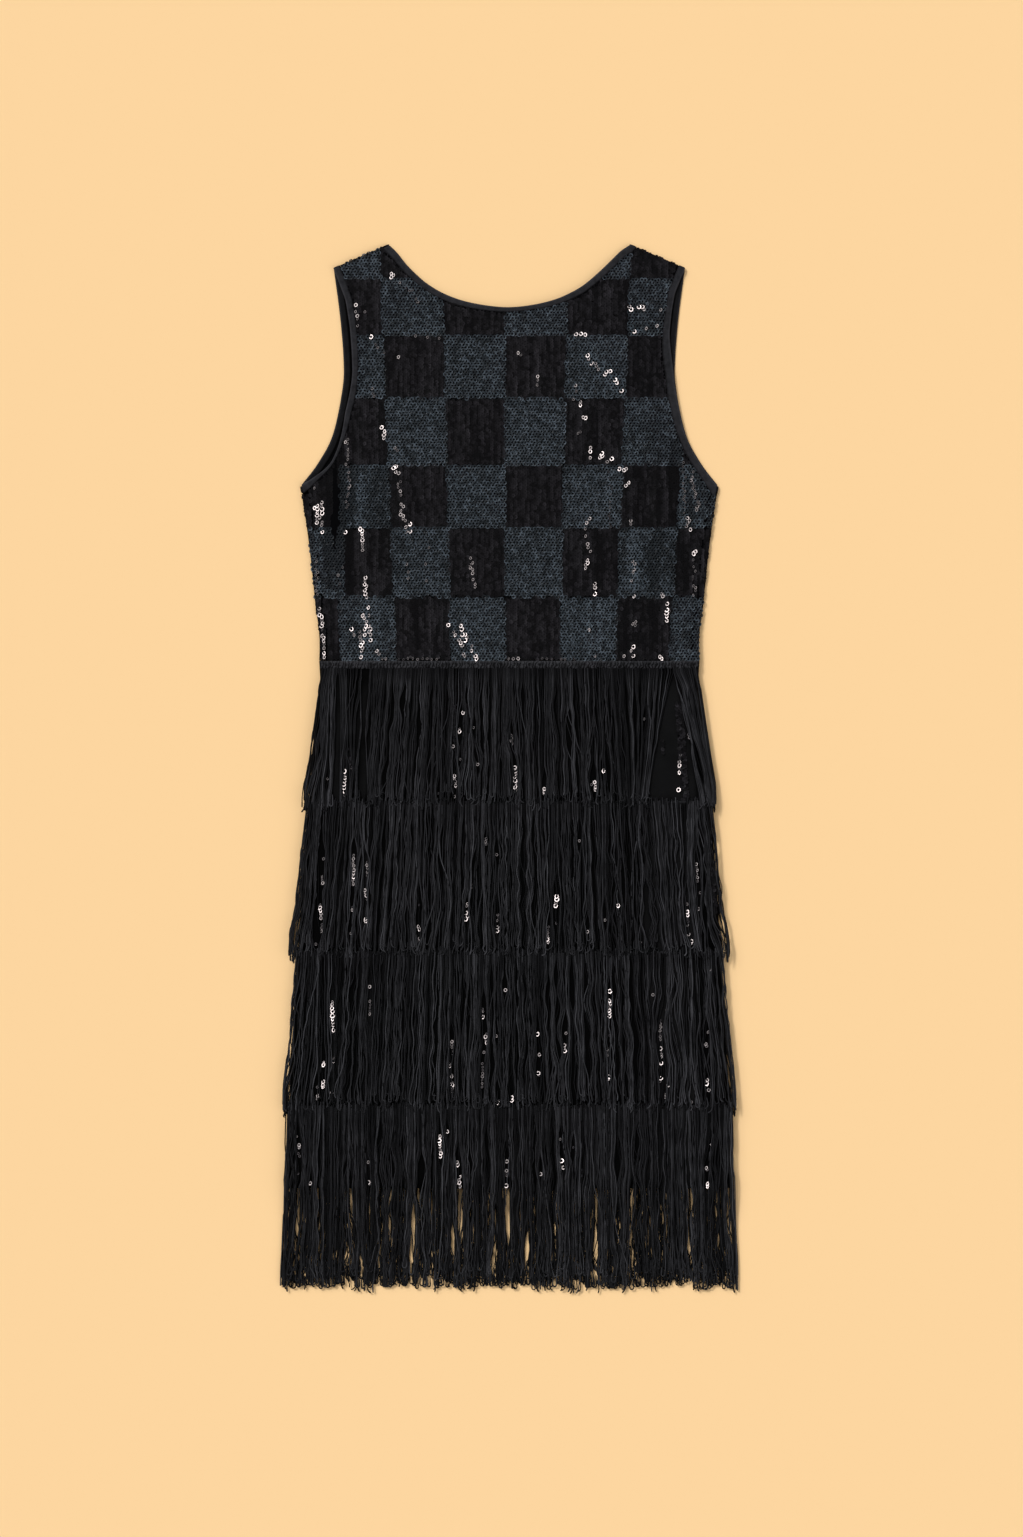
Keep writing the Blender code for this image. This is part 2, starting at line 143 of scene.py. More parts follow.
def along_run(row: Array, share: Array) -> Array:
    """Places on a row's straight run, from x0, y0 at a share of 0 to x1, y1 at a share of 1."""
    start, end = np.array([row["x0"], row["y0"]]), np.array([row["x1"], row["y1"]])
    return start + (end - start) * share


def stacked(x: Array, y: Array, z: Array) -> Array:
    """A grid of points from coordinates that share a shape once broadcast."""
    return np.stack(np.broadcast_arrays(x, y, z), axis=-1).astype(float)


def unit(vectors: Array) -> Array:
    """Vectors on the last axis, made one long."""
    return vectors / np.linalg.norm(vectors, axis=-1, keepdims=True)


def ridges(rows: Array, x: Array, y: Array, taper: float = 0.33) -> Array:
    """Height of soft ridges and troughs: a bell across each line, which dies away towards its two ends.

    Args:
        rows: a table with x0, y0, x1, y1, height and spread; a trough's height is below 0.
        x: where, across the dress.
        y: where, along the dress.
        taper: the share of a line's length over which an end dies away.

    Returns:
        The height at each place.
    """
    height = np.zeros(np.broadcast(x, y).shape)
    for row in rows:
        run = np.array([row["x1"] - row["x0"], row["y1"] - row["y0"]])
        length = np.hypot(*run)
        run = run / length
        along = (x - row["x0"]) * run[0] + (y - row["y0"]) * run[1]
        across = (x - row["x0"]) * run[1] - (y - row["y0"]) * run[0]
        ends = ease(along / length / taper) * ease((length - along) / length / taper)
        height += row["height"] * ends * np.exp(-((across / row["spread"]) ** 2))
    return height


# ---- Meshes ----------------------------------------------------------


def make_mesh(name: str, points: Array, faces: Array, smooth_faces: bool = True) -> Piece:
    """An object at the origin from points in millimetres and faces of one size.

    Args:
        name: the piece's name.
        points: one point a row.
        faces: one face a row, as indices of points.
        smooth_faces: whether the faces shade as one surface.

    Returns:
        The new object.
    """
    mesh = bpy.data.meshes.new(name)
    sides = faces.shape[1]
    mesh.vertices.add(len(points))
    mesh.vertices.foreach_set("co", (points * MM).astype(np.float32).ravel())
    mesh.loops.add(faces.size)
    mesh.loops.foreach_set("vertex_index", faces.astype(np.int32).ravel())
    mesh.polygons.add(len(faces))
    mesh.polygons.foreach_set("loop_start", np.arange(len(faces), dtype=np.int32) * sides)
    mesh.update(calc_edges=True)
    mesh.polygons.foreach_set("use_smooth", np.full(len(faces), smooth_faces))
    mesh.validate()
    made = bpy.data.objects.new(name, mesh)
    bpy.context.scene.collection.objects.link(made)
    return made


def add_uv(piece: Piece, uv: Array) -> None:
    """Gives each corner the UV of its point, from one row a point."""
    layer = piece.data.uv_layers.new(name="along")
    corner = np.empty(len(piece.data.loops), np.int32)
    piece.data.loops.foreach_get("vertex_index", corner)
    layer.data.foreach_set("uv", uv[corner].astype(np.float32).ravel())


def add_tone(piece: Piece, tone: Array) -> None:
    """Gives each point a number from 0 to 1 that its finish reads as `tone`."""
    layer = piece.data.attributes.new("tone", "FLOAT", "POINT")
    layer.data.foreach_set("value", tone.astype(np.float32))


def vertices(piece: Piece) -> Array:
    """A mesh's vertices, one a row, in millimetres."""
    co = np.empty(len(piece.data.vertices) * 3)
    piece.data.vertices.foreach_get("co", co)
    return co.reshape(-1, 3) / MM


def grid_faces(rows: int, columns: int, closed_rows: bool = False, closed_columns: bool = False) -> Array:
    """Quads between neighbours in a grid, counter-clockwise where rows run up and columns to the right."""
    index = np.arange(rows * columns).reshape(rows, columns)
    if closed_rows:
        index = np.vstack([index, index[:1]])
    if closed_columns:
        index = np.hstack([index, index[:, :1]])
    a, b, c, d = index[:-1, :-1], index[:-1, 1:], index[1:, 1:], index[1:, :-1]
    return np.stack([a, b, c, d], axis=-1).reshape(-1, 4)


def slab(name: str, upper: Array, lower: Array, present: Array | None = None) -> Piece:
    """A closed shell between two grids of points, in the cells that are present.

    Args:
        name: the piece's name.
        upper: the outer grid, rows by columns by 3.
        lower: the inner grid, alike.
        present: which cells the shell has, or None for all of them.

    Returns:
        The new object.
    """
    if present is None:
        present = np.ones((upper.shape[0] - 1, upper.shape[1] - 1), bool)
    rows, columns = present.shape
    index = np.arange((rows + 1) * (columns + 1)).reshape(rows + 1, columns + 1)
    a, b, c, d = index[:-1, :-1], index[:-1, 1:], index[1:, 1:], index[1:, :-1]
    corners = [a, b, c, d]
    faces = [np.stack(corners, axis=-1)[present], np.stack(corners[::-1], axis=-1)[present] + index.size]
    held = np.pad(present, 1)
    beyond = (held[:-2, 1:-1], held[1:-1, 2:], held[2:, 1:-1], held[1:-1, :-2])
    for start, end, closed in zip(corners, corners[1:] + corners[:1], beyond):
        rim = present & ~closed
        faces.append(np.stack([start + index.size, end + index.size, end, start], axis=-1)[rim])
    used, packed = np.unique(np.concatenate(faces), return_inverse=True)
    points = np.concatenate([upper.reshape(-1, 3), lower.reshape(-1, 3)])[used]
    return make_mesh(name, points, packed.reshape(-1, 4))


def copies(template: Array, faces: Array, centres: Array, frames: Array) -> tuple[Array, Array]:
    """Copies of a small shape, each turned by its own three axes and moved to its own centre.

    Args:
        template: the shape's points, one a row.
        faces: its faces.
        centres: where each copy goes.
        frames: each copy's x, y and z axes, copies by 3 by 3.

    Returns:
        The points and faces of all the copies together.
    """
    points = np.einsum("pk,ckj->cpj", template, frames) + centres[:, None, :]
    shifted = faces[None, :, :] + (np.arange(len(centres)) * len(template))[:, None, None]
    return points.reshape(-1, 3), shifted.reshape(-1, faces.shape[1])


def frames_about(normals: Array, spin: Array) -> Array:
    """Three axes for each normal, turned round it by spin: the last is the normal."""
    side = unit(np.cross(np.broadcast_to((0.0, 1.0, 0.0), normals.shape), normals))
    up = np.cross(normals, side)
    cos, sin = np.cos(spin)[:, None], np.sin(spin)[:, None]
    return np.stack([cos * side + sin * up, -sin * side + cos * up, normals], axis=1)


def dress(piece: Piece, finish: bpy.types.Material, node: str | None = None) -> Piece:
    """Gives a piece its finish and the body it rides on, and hides the CAD node that it replaces.

    Args:
        piece: the piece.
        finish: its material.
        node: the CAD node that it replaces, if any.

    Returns:
        The piece.
    """
    piece.data.materials.append(finish)
    if node:
        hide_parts(node)
    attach(piece, "root")
    return piece


# ---- Shader maths ----------------------------------------------------


class Sock:
    """A node's output that takes part in Python expressions, each of which adds a Math node."""

    def __init__(self, graph: Graph, socket: bpy.types.NodeSocket) -> None:
        """Wraps a socket of a graph."""
        self.graph = graph
        self.socket = socket

    def math(self, operation: str, *others: Sock | float) -> Sock:
        """This value and others through one Math node."""
        values = {number: value for number, value in enumerate((self, *others))}
        return self.graph.node("ShaderNodeMath", {"operation": operation}, values)

    def __add__(self, other: Sock | float) -> Sock:
        """Their sum."""
        return self.math("ADD", other)

    __radd__ = __add__

    def __sub__(self, other: Sock | float) -> Sock:
        """This less the other."""
        return self.math("SUBTRACT", other)

    def __rsub__(self, other: float) -> Sock:
        """The other less this."""
        return self.graph.node("ShaderNodeMath", {"operation": "SUBTRACT"}, {0: other, 1: self})

    def __mul__(self, other: Sock | float) -> Sock:
        """Their product."""
        return self.math("MULTIPLY", other)

    __rmul__ = __mul__

    def __truediv__(self, other: Sock | float) -> Sock:
        """This over the other."""
        return self.math("DIVIDE", other)

    def part(self, name: str) -> Sock:
        """One of x, y and z of a vector."""
        parts = self.graph.node("ShaderNodeSeparateXYZ", {}, {0: self}).socket.node
        return Sock(self.graph, parts.outputs[name.upper()])


class Graph:
    """A material's nodes, with the shader that they end in."""

    def __init__(self, name: str) -> None:
        """A new material with one Principled shader."""
        self.material = bpy.data.materials.new(name)
        self.material.use_nodes = True
        self.tree = self.material.node_tree
        self.shader = self.tree.nodes["Principled BSDF"]

    def node(self, kind: str, settings: dict, inputs: dict, output: int | str = 0) -> Sock:
        """Any node: its settings first, then its inputs' values or links.

        Args:
            kind: the node's type.
            settings: its properties.
            inputs: its sockets' numbers or names, with a value or a Sock for each.
            output: which of its outputs is meant.

        Returns:
            That output.
        """
        made = self.tree.nodes.new(kind)
        for name, value in settings.items():
            setattr(made, name, value)
        for name, value in inputs.items():
            self.feed(made.inputs[name], value)
        return Sock(self, made.outputs[output])

    def feed(self, socket: bpy.types.NodeSocket, value: Sock | float | tuple) -> None:
        """Links a Sock to a socket, or sets the socket's value."""
        if isinstance(value, Sock):
            self.tree.links.new(value.socket, socket)
        else:
            socket.default_value = value

    def set(self, **values: Sock | float | tuple) -> None:
        """Sets or links the shader's sockets, an underscore standing for a space."""
        for name, value in values.items():
            self.feed(self.shader.inputs[name.replace("_", " ").title().replace("Ior", "IOR")], value)

    def place(self) -> Sock:
        """Object coordinates, which are metres in the dress's frame."""
        return self.node("ShaderNodeTexCoord", {}, {}, "Object")

    def along(self) -> Sock:
        """The piece's own UV map: across and along it."""
        return self.node("ShaderNodeUVMap", {"uv_map": "along"}, {})

    def tone(self) -> Sock:
        """The number that each point carries."""
        return self.node("ShaderNodeAttribute", {"attribute_name": "tone"}, {}, "Fac")

    def noise(self, where: Sock, scale: float, detail: float = 2.0) -> Sock:
        """Noise from 0 to 1 at a scale in waves a metre."""
        return self.node("ShaderNodeTexNoise", {}, {"Vector": where, "Scale": scale, "Detail": detail})

    def ramp(self, value: Sock, low: float, high: float, start: float = 0.0, end: float = 1.0) -> Sock:
        """A value carried from one range to another, and held at its ends."""
        inputs = {"Value": value, "From Min": low, "From Max": high, "To Min": start, "To Max": end}
        return self.node("ShaderNodeMapRange", {"clamp": True}, inputs)

    def mix(self, share: Sock, first: tuple | Sock, second: tuple | Sock) -> Sock:
        """A colour between two colours."""
        inputs = {0: share, 6: first, 7: second}
        return self.node("ShaderNodeMix", {"data_type": "RGBA"}, inputs, 2)

    def bump(self, height: Sock, distance: float, strength: float = 1.0) -> None:
        """Raises the surface by a height from 0 to 1, up to a distance in millimetres."""
        inputs = {"Height": height, "Distance": distance * MM, "Strength": strength}
        self.set(normal=self.node("ShaderNodeBump", {}, inputs))


def color(red: float, green: float, blue: float) -> Color:
    """A colour for a socket from display values of 0 to 255."""
    values = np.array([red, green, blue]) / 255.0
    linear = np.where(values <= 0.04045, values / 12.92, ((values + 0.055) / 1.055) ** 2.4)
    return (*linear.tolist(), 1.0)


@dataclass(frozen=True)
class SequinFinish:
    """Dyed plastic film: its colour varies by sequin, and its highest tones are a painted highlight: a light,
    nearly metal film on the sequins that glint.
    """

    name: str
    dark: Color
    light: Color
    roughness: float
    sheen: float
    # The colour of the painted glint: light and nearly metal.
    mirror: Color = color(192, 182, 180)

    def material(self) -> bpy.types.Material:
        """Builds the finish: the tone and a little noise mix the dyes, and the highest tones paint a glint as
        a light, nearly metal film.
        """
        graph = Graph(self.name)
        tone = graph.tone()
        film = graph.noise(graph.place(), 900.0)
        # Painted highlight: tones above the dyed range turn the film light and nearly metal.
        painted_glint = graph.ramp(tone, PAINTED_GLINT_TONE, 1.0)
        dyed = graph.mix(graph.ramp(tone * 0.85 + film * 0.15, 0.0, PAINTED_GLINT_TONE), self.dark, self.light)
        graph.set(
            base_color=graph.mix(painted_glint, dyed, self.mirror),
            roughness=graph.ramp(film, 0.3, 0.7, self.roughness * 0.85, self.roughness * 1.15),
            metallic=painted_glint * 0.9,
            specular_ior_level=self.sheen,
        )
        return graph.material


@dataclass(frozen=True)
class MeshClothFinish:
    """Fine net or plain-woven backing, nearly black; a bared one takes its tone as painted shade, dark where
    the fringe covers it.
    """

    name: str
    base: Color = color(22, 22, 24)
    raised: Color = color(34, 35, 38)
    thread: float = 0.7
    bared: bool = False

    def material(self) -> bpy.types.Material:
        """Builds the finish: two crossed sets of threads, with a slow change of colour."""
        graph = Graph(self.name)
        place = graph.place()
        turns = TURN / (self.thread * MM)
        warp = (place.part("x") * turns).math("SINE") * 0.5 + 0.5
        weft = (place.part("y") * turns).math("SINE") * 0.5 + 0.5
        weave = warp * weft
        light = weave * 0.7 + graph.noise(place, 40.0) * 0.3
        # Painted shade: the tone darkens the cloth where the fringe covers it.
        if self.bared:
            light = light * graph.tone()
        cloth = graph.mix(light, self.base, self.raised)
        graph.set(base_color=cloth, roughness=0.8, specular_ior_level=0.015)
        graph.bump(weave, 0.12, 0.7)
        return graph.material


@dataclass(frozen=True)
class TapeFinish:
    """Woven tape: matt and ribbed across its run, with a painted highlight along its folded edge, and painted
    shade where it is sewn down and where its tone is low.
    """

    name: str
    base: Color
    raised: Color
    rib: float
    depth: float
    roughness: float = 0.85
    contrast: float = 0.45
    drift: float = 0.0

    def material(self) -> bpy.types.Material:
        """Builds the finish: ribs by the distance along the tape, slanted across it and adrift."""
        graph = Graph(self.name)
        uv = graph.along()
        run = uv.part("y") / self.rib
        across = uv.part("x")
        slant = across * 0.5 + graph.noise(graph.place(), 260.0) * self.drift
        rib = ((run + slant) * TURN).math("SINE") * 0.5 + 0.5
        fibre = graph.noise(graph.place(), 1400.0)
        slow = graph.noise(graph.place(), 30.0)
        patch = graph.ramp(graph.noise(graph.place(), 190.0), 0.35, 0.6, 0.25, 1.0)
        weave_and_painted_light = rib * patch * self.contrast + fibre * (0.95 - self.contrast) + slow * 0.3 - 0.12
        # Painted highlight along the folded edge and painted shade along the sewn edge; the tone paints shade
        # on shaded stretches.
        folded = graph.ramp(across, 0.05, 0.3, 0.4, 0.0) - graph.ramp(across, 0.75, 1.0, 0.0, 0.35)
        weave_and_painted_light = weave_and_painted_light * graph.tone() + folded
        woven = graph.mix(weave_and_painted_light, self.base, self.raised)
        graph.set(base_color=woven, roughness=self.roughness, specular_ior_level=0.03)
        graph.bump(rib * 0.75 + fibre * 0.25, self.depth)
        return graph.material


@dataclass(frozen=True)
class ChainetteFinish:
    """Looped rayon strands: a knitted chain along each one, with a soft sheen."""

    name: str = "chainette_rayon"
    base: Color = color(2, 2, 2)
    raised: Color = color(77, 77, 81)
    stitch: float = 1.9
    roughness: float = 0.6

    def material(self) -> bpy.types.Material:
        """Builds the finish: slanted loops that meet along the strand's middle."""
        graph = Graph(self.name)
        uv = graph.along()
        slant = (uv.part("x").math("FRACT") - 0.5).math("ABSOLUTE") * 2.0
        loops = ((uv.part("y") / self.stitch + slant) * TURN).math("SINE") * 0.5 + 0.5
        # Painted light: noise patches lighten the strands where they would catch the light, and the tone
        # carries their painted shade.
        patch = graph.ramp(graph.noise(graph.place(), 55.0), 0.3, 0.7, 0.45, 1.0)
        tone = graph.tone() * patch
        graph.set(
            base_color=graph.mix(tone * 0.9 + loops * 0.1, self.base, self.raised),
            roughness=self.roughness,
            specular_ior_level=0.03,
        )
        graph.bump(loops, 0.12, 0.6)
        return graph.material


@dataclass(frozen=True)
class FloorFinish:
    """A plain pale floor."""

    tint: Color = (0.893, 0.611, 0.320, 1.0)

    def material(self) -> bpy.types.Material:
        """Builds the finish."""
        graph = Graph("plain_floor")
        graph.set(base_color=self.tint, roughness=0.95, specular_ior_level=0.0)
        return graph.material


SLATE_FILM = SequinFinish("slate_sequin_film", color(2, 3, 4), color(86, 96, 106), 0.45, 0.12)
BLACK_FILM = SequinFinish("black_sequin_film", color(1, 1, 1), color(50, 48, 52), 0.5, 0.04)
NET = MeshClothFinish("sequin_net", color(3, 3, 4), color(9, 9, 10))
BASE_CLOTH = MeshClothFinish("skirt_base_cloth", color(2, 2, 2), color(33, 33, 34), 0.9, True)
BIAS_TAPE = TapeFinish("bias_tape", color(9, 9, 9), color(56, 56, 60), 0.9, 0.10)
HEADER_TAPE = TapeFinish("header_tape", color(2, 2, 2), color(53, 53, 56), 3.1, 0.5, 0.8, 0.85, 2.2)
CHAINETTE = ChainetteFinish()


# ---- The dress's form ------------------------------------------------


@dataclass(frozen=True)
class Cloth:
    """Thicknesses and heights up the dress that the pieces share, in millimetres."""

    wall: float = 1.6
    gap: float = 0.3
    flap: float = 7.3
    crown: float = 1.4
    shoulder_roll: float = 40.0
    skirt_rise: float = 2.4
    rise_starts_y: float = 162.0
    rise_ends_y: float = 106.0
    waist_y: float = 103.0
    hem_y: float = -403.7

    @property
    def outside(self) -> float:
        """The outer radius of a side fold."""
        return self.wall + self.gap / 2


@dataclass
class Form:
    """The outline of the flat dress, and the height of its front cloth at each place."""

    cloth: Cloth = field(default_factory=Cloth)
    neckline: Array = fixed(
        "x y",
        (-115.2, 501.5), (-108, 494.6), (-99, 483.2), (-90, 474), (-79, 464.6), (-64, 455.6), (-45, 448.3),
        (-22, 443.6), (0, 441.9), (22, 444.1), (42, 448.8), (57, 454.9), (71, 463), (86, 475.6),
        (99, 488.2), (107, 496), (115.2, 501.5),
    )
    armhole: Array = fixed(
        "x y",
        (200.8, 270), (184, 292), (169.5, 320), (160.3, 364), (159.3, 392), (162.7, 434), (168.6, 478.5),
    )
    side: Array = fixed(
        "x y",
        (218.2, -403.7), (214.6, -324), (206.4, -176.2), (196.3, -32.2), (182.4, 104), (186.6, 158),
        (190.3, 196), (193.4, 222.5), (197.2, 248), (200.8, 270),
    )
    arms: dict[str, Array] = field(
        default_factory=lambda: {
            "left": table(
                "y inset width",
                (270, 0, 5.2), (279, 6.2, 4.5), (286, 10.6, 3), (294, 12.3, 2.4), (314, 9, 3.2),
                (326, 7.8, 4.7), (340, 6.6, 6), (358, 7.5, 6.4), (382, 8.3, 5.6), (394, 8.3, 6.2),
                (423, 8.3, 6.7), (449, 7.1, 6.7), (478.5, 0, 7),
            ),
            "right": table(
                "y inset width",
                (270, 0, 8.6), (311, 0, 7.6), (334, 0, 9), (376, 0.5, 9), (393, 3.2, 9), (410, 6.2, 7.6),
                (418, 7.1, 7.2), (439, 7.1, 6.2), (456, 6.2, 7.2), (478.5, 0, 7),
            ),
            "back": table("y inset width", (270, 0, 7), (478.5, 0, 7)),
        }
    )
    folds: Array = fixed(
        "x0 y0 x1 y1 height spread",
        (-162.7, 306, -160, 165, 1.5, 9), (-100.3, 330, -104, 165, 1.2, 11),
        (117.6, 330, 121, 170, 1.3, 10), (146, 300, 141, 205, 1.6, 8), (72, 408, 116, 352, 1.6, 10),
        (-66, 150, -33, 118, 1.2, 10),
    )
    creases: Array = fixed(
        "x0 y0 x1 y1 height spread",
        (-151, 320, -150, 150, -0.8, 5), (-138.7, 330, -139, 150, 0.8, 4.5),
        (-122, 320, -120, 200, -0.5, 5), (142, 275, 141, 222, 0.7, 3), (152, 320, 158, 240, -0.9, 5),
        (168.5, 290, 167, 215, 0.5, 2.6), (180, 290, 180, 220, 0.5, 2.4), (-116, 480, -84, 456, 0.6, 4),
        (-147, 455, -146, 415, 0.5, 3), (126, 452, 138, 418, 0.6, 4), (79, 398, 113, 356, 0.6, 3.5),
        (-62, 142, -32, 104, 0.5, 3), (-40, 330, -36, 210, 0.35, 8), (38, 300, 36, 180, 0.35, 9),
        (-10, 240, -14, 130, 0.3, 8), (96, 300, 84, 240, 0.4, 6), (60, 230, 76, 150, 0.4, 7),
        (-178, 250, -174, 140, 0.4, 3), (150, 175, 150, 120, 0.5, 4), (-84, 240, -92, 130, 0.4, 6),
    )
    neck_tape: Array = fixed(
        "x width",
        (0, 4.7), (20, 5), (40, 5.6), (60, 6.2), (80, 6.5), (100, 7), (115.2, 7.6),
    )
    shoulder_reach: float = 1.3
    tape_cover: float = 0.6
    arm_samples: int = 160
    neck_samples: int = 161

    def __post_init__(self) -> None:
        """Works out what the other methods share."""
        neck, arm = plan(self.neckline), plan(self.armhole)
        self.neck_point = neck[-1]
        self.shoulder_tip = arm[-1]
        self.along_shoulder = unit(neck[-1] - arm[-1])
        self.off_shoulder = np.array([self.along_shoulder[1], -self.along_shoulder[0]])
        self.outline = np.vstack([smooth(plan(self.side), 90), smooth(arm, 90)[1:]])

    def half_width(self, y: Array) -> Array:
        """Half the width of the dress at a height y."""
        return np.interp(y, self.outline[:, 1], self.outline[:, 0])

    def rise(self, y: Array) -> Array:
        """How far the cloth's underside is off the floor: 0 at the bodice, more under the skirt."""
        cloth = self.cloth
        return cloth.skirt_rise * ease((cloth.rise_starts_y - y) / (cloth.rise_starts_y - cloth.rise_ends_y))

    def loft(self, x: Array, y: Array) -> Array:
        """How far the front cloth stands off its lowest place: a crown, and the folds and creases."""
        slope = self.off_shoulder[0] / self.off_shoulder[1]
        shoulder = self.neck_point[1] + (self.neck_point[0] - np.abs(x)) * slope
        crown = self.cloth.crown * self.crown_share(x, y) * ease((shoulder - y) / self.cloth.shoulder_roll)
        return crown + ridges(self.folds, x, y) + ridges(self.creases, x, y)

    def crown_share(self, x: Array, y: Array) -> Array:
        """The share of the crown at a place: 1 less the fourth power of its share of the half width."""
        return 1.0 - np.clip(np.abs(x) / self.half_width(y), 0, 1) ** 4

    def top(self, x: Array, y: Array) -> Array:
        """The upper side of the front cloth."""
        return self.rise(y) + 2 * self.cloth.wall + self.cloth.gap + self.loft(x, y)

    def normals(self, x: Array, y: Array, step: float = 0.8) -> Array:
        """The front cloth's normals, from the slope of its height between two near places."""
        dx = (self.top(x + step, y) - self.top(x - step, y)) / (2 * step)
        dy = (self.top(x, y + step) - self.top(x, y - step)) / (2 * step)
        return unit(np.stack([-dx, -dy, np.ones_like(dx)], axis=-1))

    def neck_edges(self, count: int) -> tuple[Array, Array]:
        """The free edge and the cloth edge of the neck's tape, from the left shoulder to the right."""
        free = smooth(plan(self.neckline), count)
        free[-1] += (self.shoulder_reach - self.cloth.outside) * self.off_shoulder
        free[0] = free[-1] * (-1, 1)
        widths = softly(np.abs(free[:, 0]), self.neck_tape["x"], self.neck_tape["width"])
        inner = offset(free, -widths)
        inner[-1] = free[-1] - widths[-1] * self.along_shoulder
        inner[0] = inner[-1] * (-1, 1)
        return free, inner

    def arm_edges(self, arm: Array, count: int) -> tuple[Array, Array]:
        """The free and cloth edges of a right armhole's tape, from the underarm to the shoulder tip.

        Each end eases into its own direction, and the whole moves in by the arm's inset.
        """
        free = smooth(plan(self.armhole), count)
        free[0] -= (self.cloth.outside, 0)
        free[-1] += (self.shoulder_reach - self.cloth.outside) * self.off_shoulder
        widths = softly(free[:, 1], arm["y"], arm["width"])
        inner = offset(free, widths)
        run = unit(plan(self.armhole)[0] - plan(self.side)[-2])
        start = free[0] - run * arm["width"][0]
        finish = free[-1] + widths[-1] * self.along_shoulder
        share = np.linspace(0, 1, count)[:, None]
        begun, ended = ease(1.0 - share * 12.0), ease(share * 12.0 - 11.0)
        inner = inner + (start - inner[0]) * begun + (finish - inner[-1]) * ended
        underarm, shoulder = self.armhole["y"][[0, -1]]
        inset = softly(free[:, 1], arm["y"], arm["inset"], 3.0) * ease((free[:, 1] - underarm) / 6.0)
        moved = (inset * ease((shoulder - free[:, 1]) / 6.0))[:, None] * (1, 0)
        return free - moved, inner - moved

    def back_edge(self) -> Array:
        """The cloth edge of the back's armhole tape, from the underarm to the shoulder tip."""
        return self.arm_edges(self.arms["back"], self.arm_samples)[1]

    def arm_side(self, arm: Array, y: Array) -> Array:
        """The cloth's right edge beside an armhole's tape, which covers a little of it."""
        inner = self.arm_edges(arm, self.arm_samples)[1]
        return np.interp(y, inner[:, 1], inner[:, 0] + self.tape_cover)

    def from_shoulder(self, x: Array, y: Array) -> Array:
        """How far inside the outermost line of the shoulders' folds a place is."""
        tip = self.shoulder_tip + self.shoulder_reach * self.off_shoulder
        return (tip - np.stack([np.abs(x), y], axis=-1)) @ self.off_shoulder

    def neck_bottom(self, x: Array, over: float = 0.2) -> Array:
        """The cloth's upper edge: a little under the neck's tape, and onto the shoulders' folds."""
        inner = self.neck_edges(self.neck_samples)[1]
        slope = self.off_shoulder[0] / self.off_shoulder[1]
        reach = (self.shoulder_reach - self.cloth.outside + over) / self.off_shoulder[1]
        shoulder = self.shoulder_tip[1] + (self.shoulder_tip[0] - np.abs(x)) * slope + reach
        neck = np.interp(x, inner[:, 0], inner[:, 1]) + self.tape_cover
        return np.where(np.abs(x) < inner[-1, 0], neck, shoulder)

    def from_tapes(self, places: Array) -> Array:
        """How far each place is from the nearest tape's cloth edge."""
        edges = [self.neck_edges(2 * self.neck_samples - 1)[1]]
        for name, sign in (("left", -1), ("right", 1)):
            edges.append(self.arm_edges(self.arms[name], self.arm_samples)[1] * (sign, 1))
        edges = np.vstack(edges)
        return np.array([np.hypot(*(edges - place).T).min() for place in places])

    def front_edge(self, arm: Array, y: Array) -> Array:
        """The front panel's side edge: at the flap below the underarm, and at the tape above it."""
        return np.minimum(self.half_width(y) - self.cloth.flap, self.arm_side(arm, y))


# ---- Places that the cloth, the sequins and the fringe share ---------


@dataclass(frozen=True)
class Tier:
    """One tier's places: its header's top, its tips' range, and half widths at root and tips."""

    number: int
    top: float
    tip_high: float
    tip_low: float
    root_half: float
    tip_half: float


def wedge_at(wedge: Array, y: Array) -> tuple[Array, Array]:
    """A wedge's middle and half width at each height."""
    share = np.clip((wedge["y0"] - y) / (wedge["y0"] - wedge["y1"]), 0, 1)
    return wedge["x0"] + (wedge["x1"] - wedge["x0"]) * share, wedge["half"] * share ** wedge["power"]


TIERS = (
    Tier(1, 102.2, -21.0, -36.5, 181.6, 198.0),
    Tier(2, -32.2, -164.0, -179.0, 195.2, 211.0),
    Tier(3, -176.2, -311.0, -326.5, 205.4, 217.3),
    Tier(4, -324.0, -474.0, -501.5, 215.0, 219.0),
)

